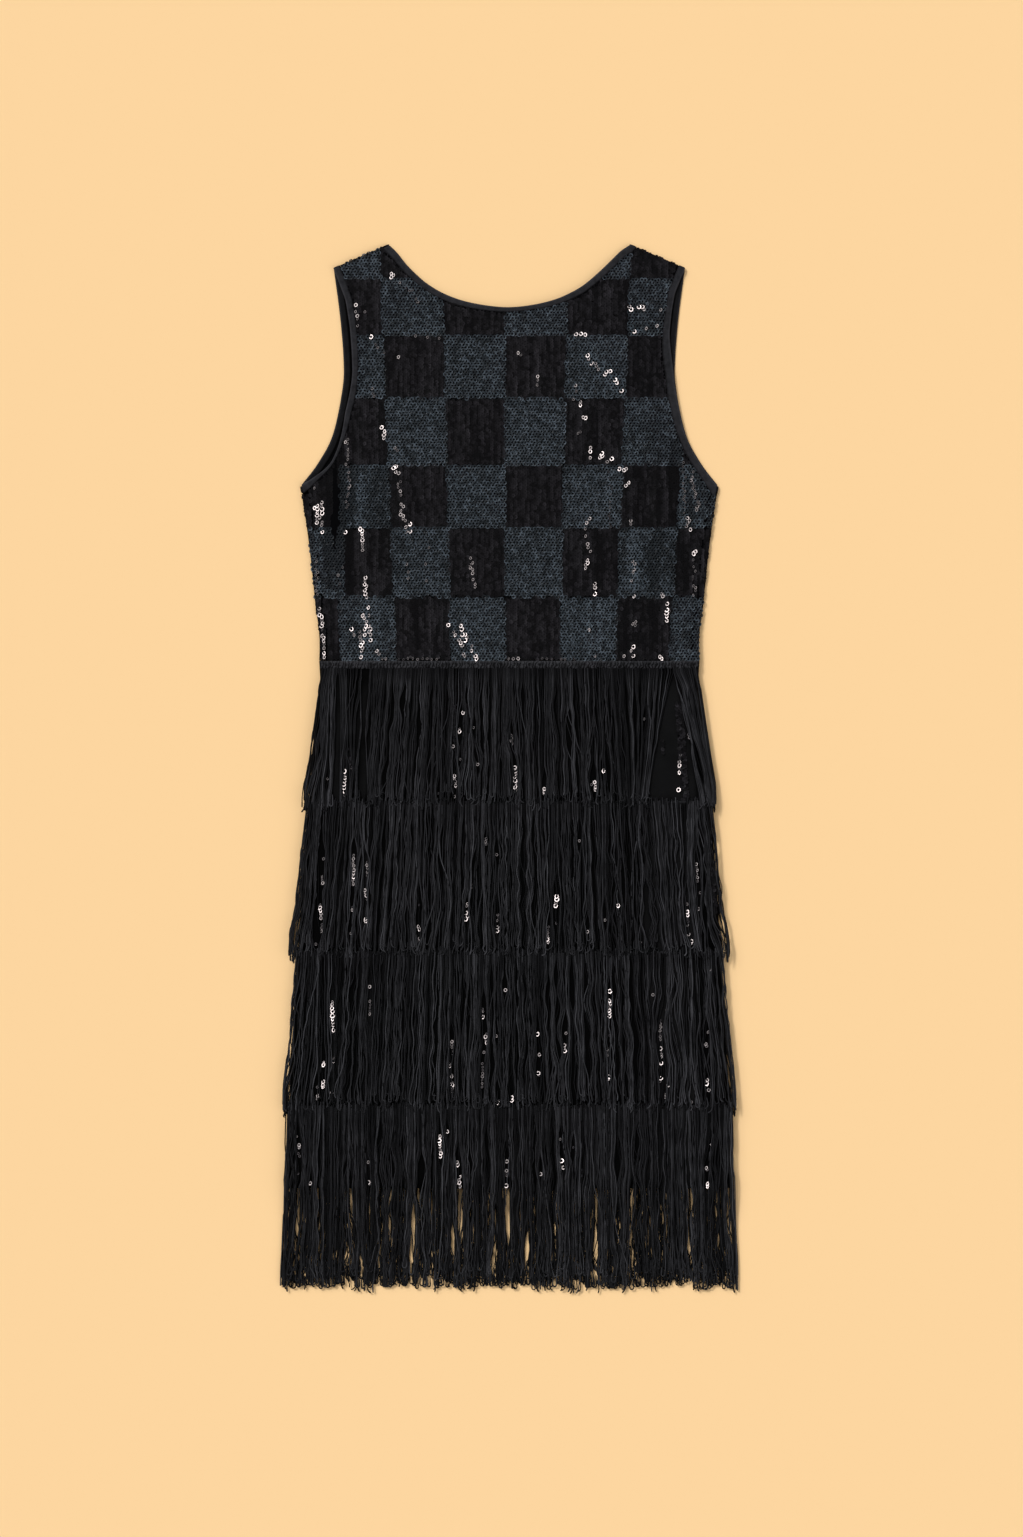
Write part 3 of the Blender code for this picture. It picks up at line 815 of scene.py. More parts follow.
SKIRT_GLINTS = {
    1: table(
        "x0 y0 x1 y1 bright",
        (-45, 53, -45, 50, 0.5), (-48, 40, -47, 31, 0.8), (-54, 21, -54, 18, 0.4), (-47, 9, -47, 6, 0.3),
        (-32, 7, -30, 1, 0.4), (-34, 40, -34, 37, 0.3), (-53, -5, -52, -20, 0.55),
        (-53, -27, -53, -30, 0.5), (-68, -24, -68, -27, 0.4), (-158, 0, -158, -30, 0.75),
        (-154, 5, -151, -3, 0.2), (-174, -9, -174, -12, 0.3), (2, 34, 2, 20, 0.35), (6, 3, 6, -25, 0.75),
        (34, -18, 33, -28, 0.6), (90, -2, 90, -5, 0.95), (82, -11, 83, -24, 0.65), (79, -15, 79, -18, 0.4),
        (129, 48, 130, 45, 0.5), (170, 34, 174, 26, 0.3), (164, 15, 163, -8, 0.7),
        (162, -20, 162, -23, 0.75),
    ),
    2: table(
        "x0 y0 x1 y1 bright",
        (-179, -85, -178, -90, 0.55), (-180, -102, -179, -114, 0.45), (-182, -129, -180, -147, 0.8),
        (-180, -148, -180, -160, 0.25), (-187, -167, -184, -172, 0.6), (-149, -81, -150, -115, 0.6),
        (-151, -131, -151, -140, 0.7), (-152, -157, -152, -160, 0.35), (-142, -80, -141, -82, 0.5),
        (-136, -88, -136, -106, 0.45), (-138, -114, -137, -129, 0.55), (-137, -143, -138, -149, 0.6),
        (-87, -129, -86, -134, 0.25), (-87, -150, -87, -158, 0.7), (-87, -162, -87, -169, 0.7),
        (-41, -137, -41, -148, 0.75), (-40, -128, -41, -136, 0.3), (-37, -110, -37, -119, 0.2),
        (-12, -82, -11, -85, 0.4), (-11, -139, -11, -149, 0.3), (-12, -150, -11, -159, 0.6),
        (-23, -66, -22, -76, 0.2), (67, -69, 67, -72, 0.4), (45, -121, 45, -135, 0.85),
        (45, -148, 45, -151, 0.4), (38, -150, 37, -170, 0.55), (104, -131, 105, -134, 0.65),
        (91, -143, 92, -148, 0.45), (75, -156, 75, -159, 0.3), (126, -166, 126, -170, 0.4),
        (179, -89, 181, -112, 0.4), (183, -118, 183, -122, 0.4), (181, -134, 181, -137, 0.4),
        (170, -129, 171, -134, 0.3), (171, -136, 171, -154, 0.75), (172, -157, 173, -162, 0.85),
        (174, -164, 175, -172, 0.55),
    ),
    3: table(
        "x0 y0 x1 y1 bright",
        (-170, -221, -169, -258, 0.95), (-169, -277, -168, -283, 0.4), (-178, -280, -178, -288, 0.8),
        (-179, -299, -178, -309, 0.85), (-184, -304, -184, -308, 0.5), (-184, -312, -183, -321, 0.95),
        (-171, -311, -170, -314, 0.4), (-134, -208, -133, -213, 0.6), (-133, -221, -134, -240, 0.35),
        (-55, -260, -54, -277, 0.35), (-57, -282, -57, -289, 0.65), (-56, -292, -55, -298, 0.6),
        (-55, -300, -54, -313, 0.45), (-25, -229, -25, -242, 0.45), (-22, -253, -22, -266, 0.55),
        (-24, -271, -24, -276, 0.8), (-26, -281, -26, -309, 0.25), (-13, -256, -12, -259, 0.6),
        (-11, -317, -11, -323, 0.9), (-4, -212, -4, -215, 0.55), (2, -315, 3, -321, 0.8),
        (27, -253, 27, -258, 0.8), (29, -273, 29, -278, 0.75), (28, -291, 28, -298, 0.65),
        (54, -253, 54, -256, 0.5), (53, -263, 53, -274, 0.9), (96, -213, 96, -218, 0.6),
        (96, -221, 96, -241, 0.8), (96, -255, 96, -258, 0.35), (94, -268, 94, -279, 0.6),
        (95, -294, 95, -302, 0.6), (137, -217, 137, -219, 0.5), (151, -231, 151, -235, 0.3),
        (145, -240, 145, -264, 0.45), (145, -267, 146, -280, 0.7), (145, -281, 146, -288, 0.9),
        (145, -295, 145, -304, 0.8), (153, -288, 153, -291, 0.35), (152, -304, 152, -307, 0.7),
        (150, -311, 149, -319, 0.6), (191, -193, 193, -195, 0.6), (191, -253, 191, -256, 0.35),
        (189, -263, 189, -269, 0.4), (189, -298, 189, -306, 0.6), (191, -309, 191, -311, 0.4),
        (174, -319, 176, -323, 0.4),
    ),
    4: table(
        "x0 y0 x1 y1 bright",
        (-204, -352, -204, -355, 0.4), (-201, -360, -201, -367, 0.5), (-202, -368, -202, -376, 0.25),
        (-203, -387, -203, -390, 0.4), (-198, -389, -198, -393, 0.4), (-191, -398, -191, -400, 0.7),
        (-137, -377, -134, -379, 0.4), (-135, -395, -134, -402, 0.6), (-67, -351, -66, -376, 0.85),
        (-60, -347, -58, -350, 0.95), (-50, -376, -49, -384, 0.6), (-49, -390, -47, -404, 0.85),
        (-3, -377, -2, -379, 0.7), (-3, -384, -2, -394, 0.45), (-3, -399, -3, -403, 0.85),
        (49, -355, 49, -359, 0.6), (50, -375, 50, -379, 0.8), (52, -382, 52, -386, 0.8),
        (30, -389, 30, -391, 0.4), (61, -361, 61, -366, 0.3), (194, -361, 194, -363, 0.5),
        (189, -381, 190, -389, 0.75), (190, -396, 190, -404, 0.8),
    ),
}

WEDGES = table(
    "tier x0 y0 x1 y1 half power reach",
    (1, 157, 90, 155.5, -32, 24, 0.8, 42), (1, -164.6, 90, -164.6, -32, 3.4, 0.3, 16),
    (1, -142, 86, -137, -32, 2.4, 0.3, 14),
)


# ---- Cloth pieces ----------------------------------------------------


@dataclass
class Bodice:
    """The two bodice panels and the two halves of the skirt's base, as thin shells on the solids' form."""

    form: Form
    shell: float = 0.6
    seam: float = 0.15
    rows: int = 60
    columns: int = 110
    back_rows: tuple[int, int] = (17, 30)
    skirt_rows: int = 30
    skirt_columns: int = 50
    fold_steps: int = 8
    shoulder_samples: int = 24
    shoulder_steps: int = 11
    skirt_inset: float = 3.5
    inset_length: float = 30.0
    wedge_edge: float = 4.0
    painted_shade_under_fringe: float = 0.12
    neck_above_side: float = 0.02
    outline_samples: int = 400

    def panel_plan(self, left: Array, right: Array, rows: Array) -> tuple[Array, Array]:
        """x and y of a panel's grid: side edges shared out evenly, and rows drawn down towards the neckline.

        Args:
            left: the left edge's x at each row.
            right: the right edge's x at each row.
            rows: each row's y at the side edges.

        Returns:
            The grid's x and its y.
        """
        form = self.form
        corner = form.arm_side(form.arms["back"], rows[-1:])[0]
        top_x = np.linspace(-corner, corner, self.columns + 1)
        share = (top_x / corner)[None, :]
        x = np.where(share < 0, left[:, None], right[:, None]) * np.abs(share) * np.sign(share)
        bend = ((rows - rows[0]) / (rows[-1] - rows[0])) ** 3
        y = rows[:, None] + (form.neck_bottom(top_x) - rows[-1])[None, :] * bend[:, None]
        return x, y

    def top_row(self) -> float:
        """The y at which a panel's side edge meets the shoulder."""
        return float(self.form.back_edge()[-1, 1] + 1.0)

    def under(self, name: str, x: Array, y: Array, z: Array) -> Piece:
        """A thin shell below a surface."""
        return slab(name, stacked(x, y, z), stacked(x, y, z - self.shell))

    def front(self) -> Piece:
        """The front panel: its height is the form's, less a tenth of a millimetre under the sequins."""
        form, cloth = self.form, self.form.cloth
        rows = np.linspace(cloth.waist_y + self.seam, self.top_row(), self.rows)
        left, right = (form.front_edge(form.arms[name], rows) for name in ("left", "right"))
        x, y = self.panel_plan(left, right, rows)
        return self.under("front_bodice_net", x, y, form.top(x, y) - 0.1)

    def wrapped(self, name: str, x: Array, y: Array, folded: int) -> Piece:
        """A back panel: flat on its rise, with half circles round both sides and flaps that end on the front.

        Args:
            name: the piece's name.
            x: the flat part's x, rows by columns.
            y: the flat part's y.
            folded: how many rows of cells have the side folds.

        Returns:
            The new object.
        """
        cloth = self.form.cloth
        base = self.form.rise(y)
        edge = x[:, -1] + cloth.outside
        angle = np.linspace(0, np.pi, self.fold_steps + 1)[None, 1:]
        level = (base[:, -1] + cloth.outside)[:, None]
        grids = []
        for radius, flat in ((cloth.outside - self.shell, base + self.shell), (cloth.outside, base)):
            start = (edge - cloth.outside)[:, None]
            arc = stacked(start + radius * np.sin(angle), y[:, -1:], level - radius * np.cos(angle))
            end = stacked((edge - cloth.flap + 0.3)[:, None], y[:, -1:], level + radius)
            fold = np.concatenate([arc, end], axis=1)
            grids.append(np.concatenate([fold[:, ::-1] * (-1, 1, 1), stacked(x, y, flat), fold], axis=1))
        present = np.ones((x.shape[0] - 1, grids[0].shape[1] - 1), bool)
        strip = self.fold_steps + 1
        present[folded:, :strip] = False
        present[folded:, -strip:] = False
        return slab(name, *grids, present)

    def back(self) -> Piece:
        """The back panel, with its side folds up to the underarms."""
        form, cloth = self.form, self.form.cloth
        fold_end = form.back_edge()[0, 1] - 0.4
        below = np.linspace(cloth.waist_y + self.seam, fold_end, self.back_rows[0])
        rows = np.concatenate([below, np.linspace(fold_end, self.top_row(), self.back_rows[1])[1:]])
        folded, cut = form.half_width(rows) - cloth.outside, form.arm_side(form.arms["back"], rows)
        side = np.where(rows <= fold_end, folded, cut)
        x, y = self.panel_plan(side, side, rows)
        return self.wrapped("back_bodice_net", x, y, len(below) - 1)

    def skirt(self, face: Face) -> Piece:
        """One half of the skirt's base, down to the hem."""
        form, cloth = self.form, self.form.cloth
        rows = np.linspace(cloth.hem_y, cloth.waist_y - self.seam, self.skirt_rows)
        share = np.linspace(-1, 1, self.skirt_columns)[None, :]
        inset = cloth.flap if face is Face.FRONT else cloth.outside
        inset = inset + self.skirt_inset * ease((cloth.waist_y - rows) / self.inset_length)
        x = (form.half_width(rows) - inset)[:, None] * share
        y = np.broadcast_to(rows[:, None], x.shape)
        if face is Face.BACK:
            return self.wrapped("back_skirt_base", x, y, len(rows) - 1)
        return self.under("front_skirt_base", x, y, form.top(x, y))

    def shoulder(self, sign: int) -> Piece:
        """The fold of net over a shoulder: a half circle carried from the armhole's tape to the neck's."""
        form, cloth = self.form, self.form.cloth
        tip = form.back_edge()[-1] + 0.5 * form.along_shoulder
        neck = form.neck_edges(form.neck_samples)[1][-1] - 0.5 * form.along_shoulder
        line = tip + (neck - tip) * np.linspace(0, 1, self.shoulder_samples)[:, None]
        angle = np.linspace(0, np.pi, self.shoulder_steps)
        grids = []
        for radius in (cloth.outside - 0.1, cloth.outside - 0.1 - self.shell):
            flat = line[:, None, :] + form.off_shoulder * (radius * np.sin(angle))[None, :, None]
            level = cloth.outside + 0.1 + radius * np.cos(angle)
            grid = stacked(flat[..., 0] * sign, flat[..., 1], level[None, :])
            grids.append(grid[::-1] if sign > 0 else grid)
        return slab("shoulder_fold_left" if sign < 0 else "shoulder_fold_right", *grids)

    def paint_fringe_shade(self, piece: Piece) -> None:
        """Paints shade on a skirt's base: dark where the fringe covers it, lighter where the fringe parts in
        wide wedges, from a little beyond their edges.
        """
        x, y = vertices(piece)[:, :2].T
        share = []
        for wedge in WEDGES:
            middle, half = wedge_at(wedge, y)
            share.append((half + self.wedge_edge - np.abs(x - middle)) / self.wedge_edge * (half > 0.5))
        add_tone(piece, np.clip(np.max(share, axis=0), self.painted_shade_under_fringe, 1.0))

    def build(self) -> list[Piece]:
        """Builds and dresses every cloth piece.

        Returns:
            The pieces.
        """
        form, cloth = self.form, self.form.cloth
        net, base = NET.material(), BASE_CLOTH.material()
        front, back = self.front(), self.back()
        front_skirt, back_skirt = self.skirt(Face.FRONT), self.skirt(Face.BACK)
        for piece, node in ((front, "front_bodice"), (back, "back_bodice")):
            dress(piece, net, node)
        for piece, node in ((front_skirt, "front_skirt"), (back_skirt, "back_skirt")):
            dress(piece, base, node)
            self.paint_fringe_shade(piece)
        shoulders = [dress(self.shoulder(sign), net) for sign in (-1, 1)]
        rows = np.linspace(cloth.waist_y, self.top_row(), self.outline_samples)
        width = float(form.half_width(rows).max() * 2) * MM
        hem = float(form.half_width(cloth.hem_y)) * 2 * MM
        return [front, back, front_skirt, back_skirt, *shoulders]


# ---- Sequins ---------------------------------------------------------


@dataclass(frozen=True)
class Ring:
    """One sequin: a round of film with a hole, whose rim stands a little higher; its tone is painted light,
    lighter on one side and at the rim.
    """

    radius: float
    hole: float
    cup: float
    sides: int = 8
    # Painted light: how much lighter one side is, and how much lighter the rim is than the hole.
    painted_side_light: float = 0.0
    rim: float = 0.0
    stretch: float = 1.0

    def template(self) -> tuple[Array, Array]:
        """Its points, a loop round the hole and a loop round the rim, and its faces."""
        angle = np.linspace(0, TURN, self.sides, endpoint=False)
        circle = np.column_stack([np.cos(angle), np.sin(angle)])
        circle[:, 1] *= self.stretch
        inner = np.column_stack([circle * self.hole, np.zeros(self.sides)])
        outer = np.column_stack([circle * self.radius, np.full(self.sides, self.cup)])
        here = np.arange(self.sides)
        there = (here + 1) % self.sides
        faces = np.column_stack([here, here + self.sides, there + self.sides, there])
        return np.vstack([inner, outer]), faces

    def painted_light_shares(self) -> Array:
        """The share of its tone that each point has, as painted light and shade: more towards one side, more
        at the rim and less at the hole.
        """
        side = 1.0 + self.painted_side_light * np.cos(np.linspace(0, TURN, self.sides, endpoint=False))
        return np.concatenate([side * (1.0 - self.rim), side * (1.0 + self.rim)])

    def strewn(self, name: str, centres: Array, frames: Array, tones: Array) -> Piece:
        """One piece with a ring at each centre.

        Args:
            name: the piece's name.
            centres: where each ring is.
            frames: each ring's x, y and z axes.
            tones: the tone of each ring's points, a row for each ring.

        Returns:
            The new object.
        """
        points, faces = copies(*self.template(), centres, frames)
        piece = make_mesh(name, points, faces, smooth_faces=False)
        add_tone(piece, tones.ravel())
        return piece


@dataclass(frozen=True)
class Sewing:
    """How one kind of sequin is sewn on, and how far chance and the bodice's streaks reach in it."""

    ring: Ring
    film: SequinFinish
    jitter: Pair
    tilt: tuple[float, float, float]
    uneven: float
    loose: float
    tone: float
    tone_spread: float
    streak_tilt: float
    streak_lift: float
    streak_painted_reflection: float
# How much of a streak goes into the tone, as painted reflection.


def dot(x: float, y: float, bright: float) -> tuple:
    """A run of one sequin at one place."""
    return x, y, x, y, 1, bright


@dataclass
class Sequins:
    """Rows of cupped sequins in a check, overlapped like scales, some of them turned to the light."""

    form: Form
    pitch: float = 3.12
    row_pitch: float = 2.6
    column_pitch: float = 2.3
    slate: Sewing = Sewing(
        ring=Ring(2.15, 0.92, 0.45, 7, 0.95, 0.7), film=SLATE_FILM, jitter=(0.34, 0.28),
        tilt=(0.03, -0.06, 0.0), uneven=0.08, loose=1.0, tone=0.15, tone_spread=0.12,
        streak_tilt=0.01, streak_lift=0.0, streak_painted_reflection=0.01,
    )
    black: Sewing = Sewing(
        ring=Ring(1.8, 0.25, 0.08, 6, 0.3, 0.2, 1.25), film=BLACK_FILM, jitter=(0.2, 0.4),
        tilt=(0.0, -0.02, 0.0), uneven=0.035, loose=0.5, tone=0.08, tone_spread=0.08,
        streak_tilt=0.06, streak_lift=0.06, streak_painted_reflection=0.1,
    )
    wide: Ring = Ring(2.25, 1.38, 0.06)
    seed: int = 1926
    sown_low: Pair = (-203.0, 104.0)
    sown_high: Pair = (203.0, 500.0)
    lift: float = 0.35
    loose: float = 0.1
    sunk: float = 0.6
    sunk_reach: float = 3.5
    round_fold: float = 0.1
    steepest_roll: float = 0.96
    fold_lift: float = 0.2
    flap_start: float = 1.3
    flap_rim: float = 0.6
    shoulder_rim: float = 0.4
    flap_top: float = 262.0
    flap_top_x: float = 192.0
    flap_top_slope: float = 0.3
    streak_level: float = 0.55
    streak_waves: Waves = ((0.5, 70.0), (0.45, 31.0), (0.3, 14.0))
    streak_limits: Pair = (-1.5, 1.8)
    band_taper: float = 0.2
    band_tilt: float = 0.25
    band_limits: Pair = (-0.3, 0.5)
    apart: float = 2.5
    run_fill: float = 1.5
    run_spread: float = 0.6
    run_uneven: float = 0.3
    dimmest: float = 0.05
    lit_lift: float = 0.55
    lit_uneven: float = 0.07
    dim_uneven: float = 0.1
    narrowest: float = 0.62
    skirt_pitch: float = 3.6
    skirt_lift: float = 1.1
    skirt_uneven: float = 0.45
    skirt_dimmest: float = 0.08
    trim_pitch: float = 2.9
    trim_lift: float = 0.7
    trims: Array = fixed(
        "x0 y0 x1 y1 count",
        (162.5, 62, 168.8, -33, 3), (147, 26, 147.5, 14, 1), (-159, 72, -158, -30, 2),
        (-152.5, 20, -151.5, -24, 1), (-52.5, 66, -52, 16, 1), (-40, 60, -40.5, 36, 1),
        (190, -60, 196, -140, 3), (71.5, 70, 70, 44, 1),
    )
    check_middle: float = -3.8
    wide_square: float = 58.7
    wide_y: float = 414.0
    narrow_square: float = 53.0
    narrow_y: float = 132.0
    check_rows: tuple[float, ...] = (469.5, 414.6, 354.1, 290.7, 229.5, 163.7)
    # Slate squares sewn black left of their side: painted shade in a deep fold.
    fold_shaded_squares: Array = fixed(
        "row column side",
        (4, -3, -162.8), (5, -3, -158.8),
    )
    # A strip along that fold, its middle and half width at each y, where no sequins are sewn and the dark net
    # shows as painted shade.
    fold_shade: Array = fixed(
        "x y half",
        (-168, 205, 0), (-167.6, 222, 2.6), (-167.5, 235, 4), (-166.5, 255, 3.2), (-166.6, 284, 2.4),
        (-166.5, 300, 0),
    )
    glints: Array = fixed(
        "x0 y0 x1 y1 count bright",
        (-114.4, 472, -112.4, 471, 2, 1), dot(-106, 465.5, 0.5), (-97, 460, -92, 458, 2, 0.25),
        (-89, 449.5, -87, 448, 2, 0.3), (-148.3, 444, -144.6, 425, 6, 0.8), dot(-138.5, 439, 0.6),
        dot(-133, 413.5, 1), (-128.7, 404.7, -121.1, 398.6, 2, 0.3), dot(-105.2, 393.3, 0.4),
        (-129.3, 356.4, -131, 362, 2, 0.3), (-89.2, 414.5, -68.7, 410.2, 2, 0.25),
        (7.9, 398.6, 10.5, 396, 2, 0.8), (26.6, 376.5, 26.8, 367.2, 3, 0.7),
        (64.6, 414.6, 71.8, 414.9, 2, 0.9), (74, 395.3, 78.6, 387.3, 2, 0.8), (85, 388, 85, 382, 2, 0.4),
        (92.2, 379, 97.2, 380.2, 2, 0.8), (101.3, 371.6, 106.2, 362.3, 3, 0.8),
        (64, 366.7, 61.3, 354.6, 2, 0.4), (67.4, 351, 67.4, 347, 2, 0.9), dot(72.3, 335.8, 1),
        dot(67.4, 322, 0.3), dot(116.4, 441.4, 0.7), (126, 443, 129.4, 440.2, 3, 0.8),
        (144, 438.5, 146.5, 437, 2, 0.6), (140.1, 422.7, 120.3, 420.1, 2, 0.8),
        (-121.3, 325.5, -121, 316.5, 3, 0.9), (-154.6, 314, -155, 248, 12, 0.32), dot(-158.4, 313.9, 1),
        dot(-108.8, 305, 0.3), (-110.5, 289, -107.5, 282, 3, 0.7), (-105.6, 273.6, -104.4, 262, 3, 0.35),
        (-103.8, 253.5, -101.5, 236, 5, 0.6), (-100.1, 230.8, -94.8, 233.3, 2, 1),
        (-97.5, 226, -94, 226.5, 2, 0.6), dot(-188.6, 267.8, 0.7), (-185.4, 252, -185, 234.7, 5, 1),
        (-180.6, 253, -180, 227.3, 7, 1), dot(-157.7, 225.8, 0.7), (-142, 230, -139.7, 209.6, 6, 1),
        (-162, 191, -163, 177, 2, 0.25), (-139, 181, -137, 162.8, 6, 0.8), dot(-135.8, 154.2, 0.9),
        (-138.6, 146, -137.5, 123, 6, 0.8), (-134.8, 144, -133.5, 122, 6, 0.8),
        (-151.2, 131, -150, 128, 2, 0.7), (-142.8, 129.6, -140.5, 105, 7, 0.7),
        (-127.8, 112, -126.5, 109, 2, 0.6), (-185.8, 200, -184.6, 166, 8, 0.3),
        (-182.4, 152, -175.9, 104.5, 12, 0.8), (-78.5, 211.7, -78.5, 178, 2, 0.3),
        (-99.4, 194.5, -95, 181.5, 2, 0.3), (-37.5, 202, -33.2, 174, 7, 0.45), dot(-58.4, 137, 1),
        (-47, 135, -41.5, 122, 5, 0.9), (-52.5, 129, -47.5, 119, 3, 0.7), (-45, 117, -43, 106, 4, 0.7),
        (-37.4, 117, -32.3, 105.2, 4, 0.9), (-107, 103, -67, 103, 7, 0.2), (-1, 103, 9, 103, 4, 0.35),
        dot(67.7, 321.8, 0.3), (77.7, 305, 77.9, 297.5, 3, 0.9), (88.5, 302.4, 88.5, 294.5, 3, 0.8),
        (94, 295, 99, 296, 3, 0.8), (105, 285.6, 112.6, 286.3, 2, 0.7), (96.5, 284, 96.5, 230, 9, 0.12),
        dot(111.8, 271.5, 0.9), (77, 237.6, 74.8, 229.4, 2, 0.7), (73.4, 221.8, 75.6, 209.3, 3, 0.5),
        (75, 200, 73.4, 192.3, 3, 0.9), (116, 237, 117, 229, 3, 0.8), (82, 176, 82, 168.5, 3, 0.8),
        (118.7, 198, 119.5, 179.4, 4, 0.45), dot(120.9, 164.5, 0.8), (170.6, 238, 171.3, 226, 4, 0.7),
        (166.5, 292, 170, 242, 9, 0.22), (175.6, 282, 182, 246, 9, 0.35), dot(178.5, 206, 1),
        (177, 198.8, 177, 166, 7, 0.25), dot(147.5, 165.7, 0.7), (151.8, 156, 151, 137, 5, 0.8),
        dot(77, 133.3, 0.5), dot(82.8, 108, 0.6), (117.3, 115.3, 117.3, 107, 2, 0.7), dot(110.8, 107, 1),
        dot(144.7, 106, 0.8), (120.2, 141, 120.2, 136, 2, 0.3), (-121.5, 103, -118, 103, 2, 0.4),
        (30, 103, 60, 103, 4, 0.15),
    )
    # Lighter and darker bands along the bodice's folds, whose height is added to the sequins' tone: painted
    # light and shade.
    painted_light_bands: Array = fixed(
        "x0 y0 x1 y1 height spread",
        (-166.5, 316, -165.5, 188, -1.5, 7.6), (194.5, 262, 190, 108, -0.14, 3.6),
        (156, 300, 156, 222, -0.12, 4), (-156, 325, -157, 220, 0.22, 3), (-150, 300, -150, 220, -0.2, 3),
        (-143.5, 300, -142, 165, 0.16, 4), (-124, 300, -122, 180, -0.14, 11),
        (-170, 200, -172, 165, -0.15, 6), (-156, 232, -154, 160, -0.3, 4.5),
        (-150, 165, -152, 110, -0.12, 5), (-136.8, 165, -136, 108, 0.18, 5),
        (-92, 168, -87, 112, -0.45, 2.6), (-83, 168, -82, 140, -0.25, 1.8), (-70, 140, -70, 106, -0.3, 2.2),
        (-37, 215, -34, 166, 0.2, 4), (-46, 145, -34, 105, 0.15, 5), (-130, 240, -128, 170, 0.05, 8),
        (142.3, 300, 142.5, 222, -0.5, 1.7), (150, 300, 150, 228, 0.08, 4), (158, 320, 158, 262, -0.4, 5),
        (168, 296, 170, 220, 0.2, 3), (175, 290, 181, 225, 0.16, 2.8), (175, 262, 176, 225, -0.22, 2.5),
        (118.7, 232, 119.5, 160, 0.26, 5), (140, 232, 140, 160, -0.24, 8), (76.3, 165, 76.3, 104, 0.2, 3),
        (87, 165, 87, 110, 0.18, 3), (96.5, 290, 96.5, 225, 0.2, 4), (137, 165, 137, 110, -0.2, 6),
        (26, 416, 26, 352, 0.22, 3), (96, 470, 96, 414, 0.12, 2.5), (79, 352, 79, 290, -0.25, 2),
        (66, 352, 66, 292, 0.1, 5), (88, 232, 87, 165, -0.2, 4), (68, 230, 68, 165, 0.08, 5),
        (-149, 470, -149, 360, -0.12, 3.5), (-137, 460, -137, 360, -0.07, 4),
        (-110, 468, -110, 420, -0.1, 6), (-166.5, 226, -166.5, 168, -0.12, 3),
        (-177, 228, -175.5, 166, -0.1, 4), (-119, 225, -119, 168, 0.1, 4), (-173, 225, -173, 165, -0.12, 4),
        (-143, 225, -143, 165, -0.12, 3), (-149, 290, -149, 234, -0.12, 4),
        (-133, 290, -128, 234, -0.07, 8), (-131, 160, -131, 108, 0.08, 3), (-138, 352, -138, 292, -0.06, 9),
        (124, 470, 124, 418, -0.09, 14), (145, 460, 145, 420, -0.1, 4), (139, 352, 139, 292, -0.1, 9),
        (172, 290, 172, 228, -0.16, 7), (190, 290, 190, 228, -0.1, 7), (109, 228, 109, 165, -0.12, 4),
        (157, 228, 157, 165, -0.2, 4), (187, 225, 187, 165, 0.15, 3), (136, 160, 136, 108, 0.12, 4),
        (175, 160, 175, 108, -0.1, 7), (-112, 500, -84, 452, 0.1, 5), (176, 225, 176, 165, 0.08, 3),
        (168, 225, 168, 165, -0.2, 4), (110, 165, 110, 105, -0.25, 3.5), (-8, 230, -8, 170, -0.12, 2),
        (-125, 352, -125, 300, -0.15, 2), (-135, 352, -136, 300, 0.1, 4), (78, 400, 110, 355, 0.12, 6),
        (0, 290, 0, 232, -0.1, 3),
    )

    def lattice(self, kind: Check, rng: Rng) -> Array:
        """Places a little off their own, in staggered rows, or in staggered columns for the black kind.

        Args:
            kind: which kind of sequin.
            rng: the source of chance.

        Returns:
            One place a row.
        """
        (left, bottom), (right, top) = self.sown_low, self.sown_high
        if kind is Check.SLATE:
            y, x = np.mgrid[bottom : top : self.row_pitch, left : right : self.pitch]
            x = x + (np.arange(x.shape[0]) % 2)[:, None] * self.pitch / 2
            jitter = self.slate.jitter
        else:
            y, x = np.mgrid[bottom : top : self.pitch, left : right : self.column_pitch]
            y = y + (np.arange(x.shape[1]) % 2)[None, :] * self.pitch / 2
            jitter = self.black.jitter
        places = np.column_stack([x.ravel(), y.ravel()])
        return places + rng.normal(0, 1, places.shape) * jitter

    def squares(self, x: Array, y: Array) -> tuple[Array, Array]:
        """The check's row and column at each place: columns draw in towards the waist.

        Below the left armhole, two slate squares are sewn black left of an edge, as painted shade of a deep
        fold.
        """
        narrowing, drop = self.wide_square - self.narrow_square, self.wide_y - self.narrow_y
        pitch = self.wide_square + (y - self.wide_y) * narrowing / drop
        column = np.floor((x - self.check_middle) / pitch)
        row = np.searchsorted(-np.array(self.check_rows), -y)
        for fold_shade in self.fold_shaded_squares:
            column = column - ((row == fold_shade["row"]) & (column == fold_shade["column"]) & (x < fold_shade["side"]))
        return row, column

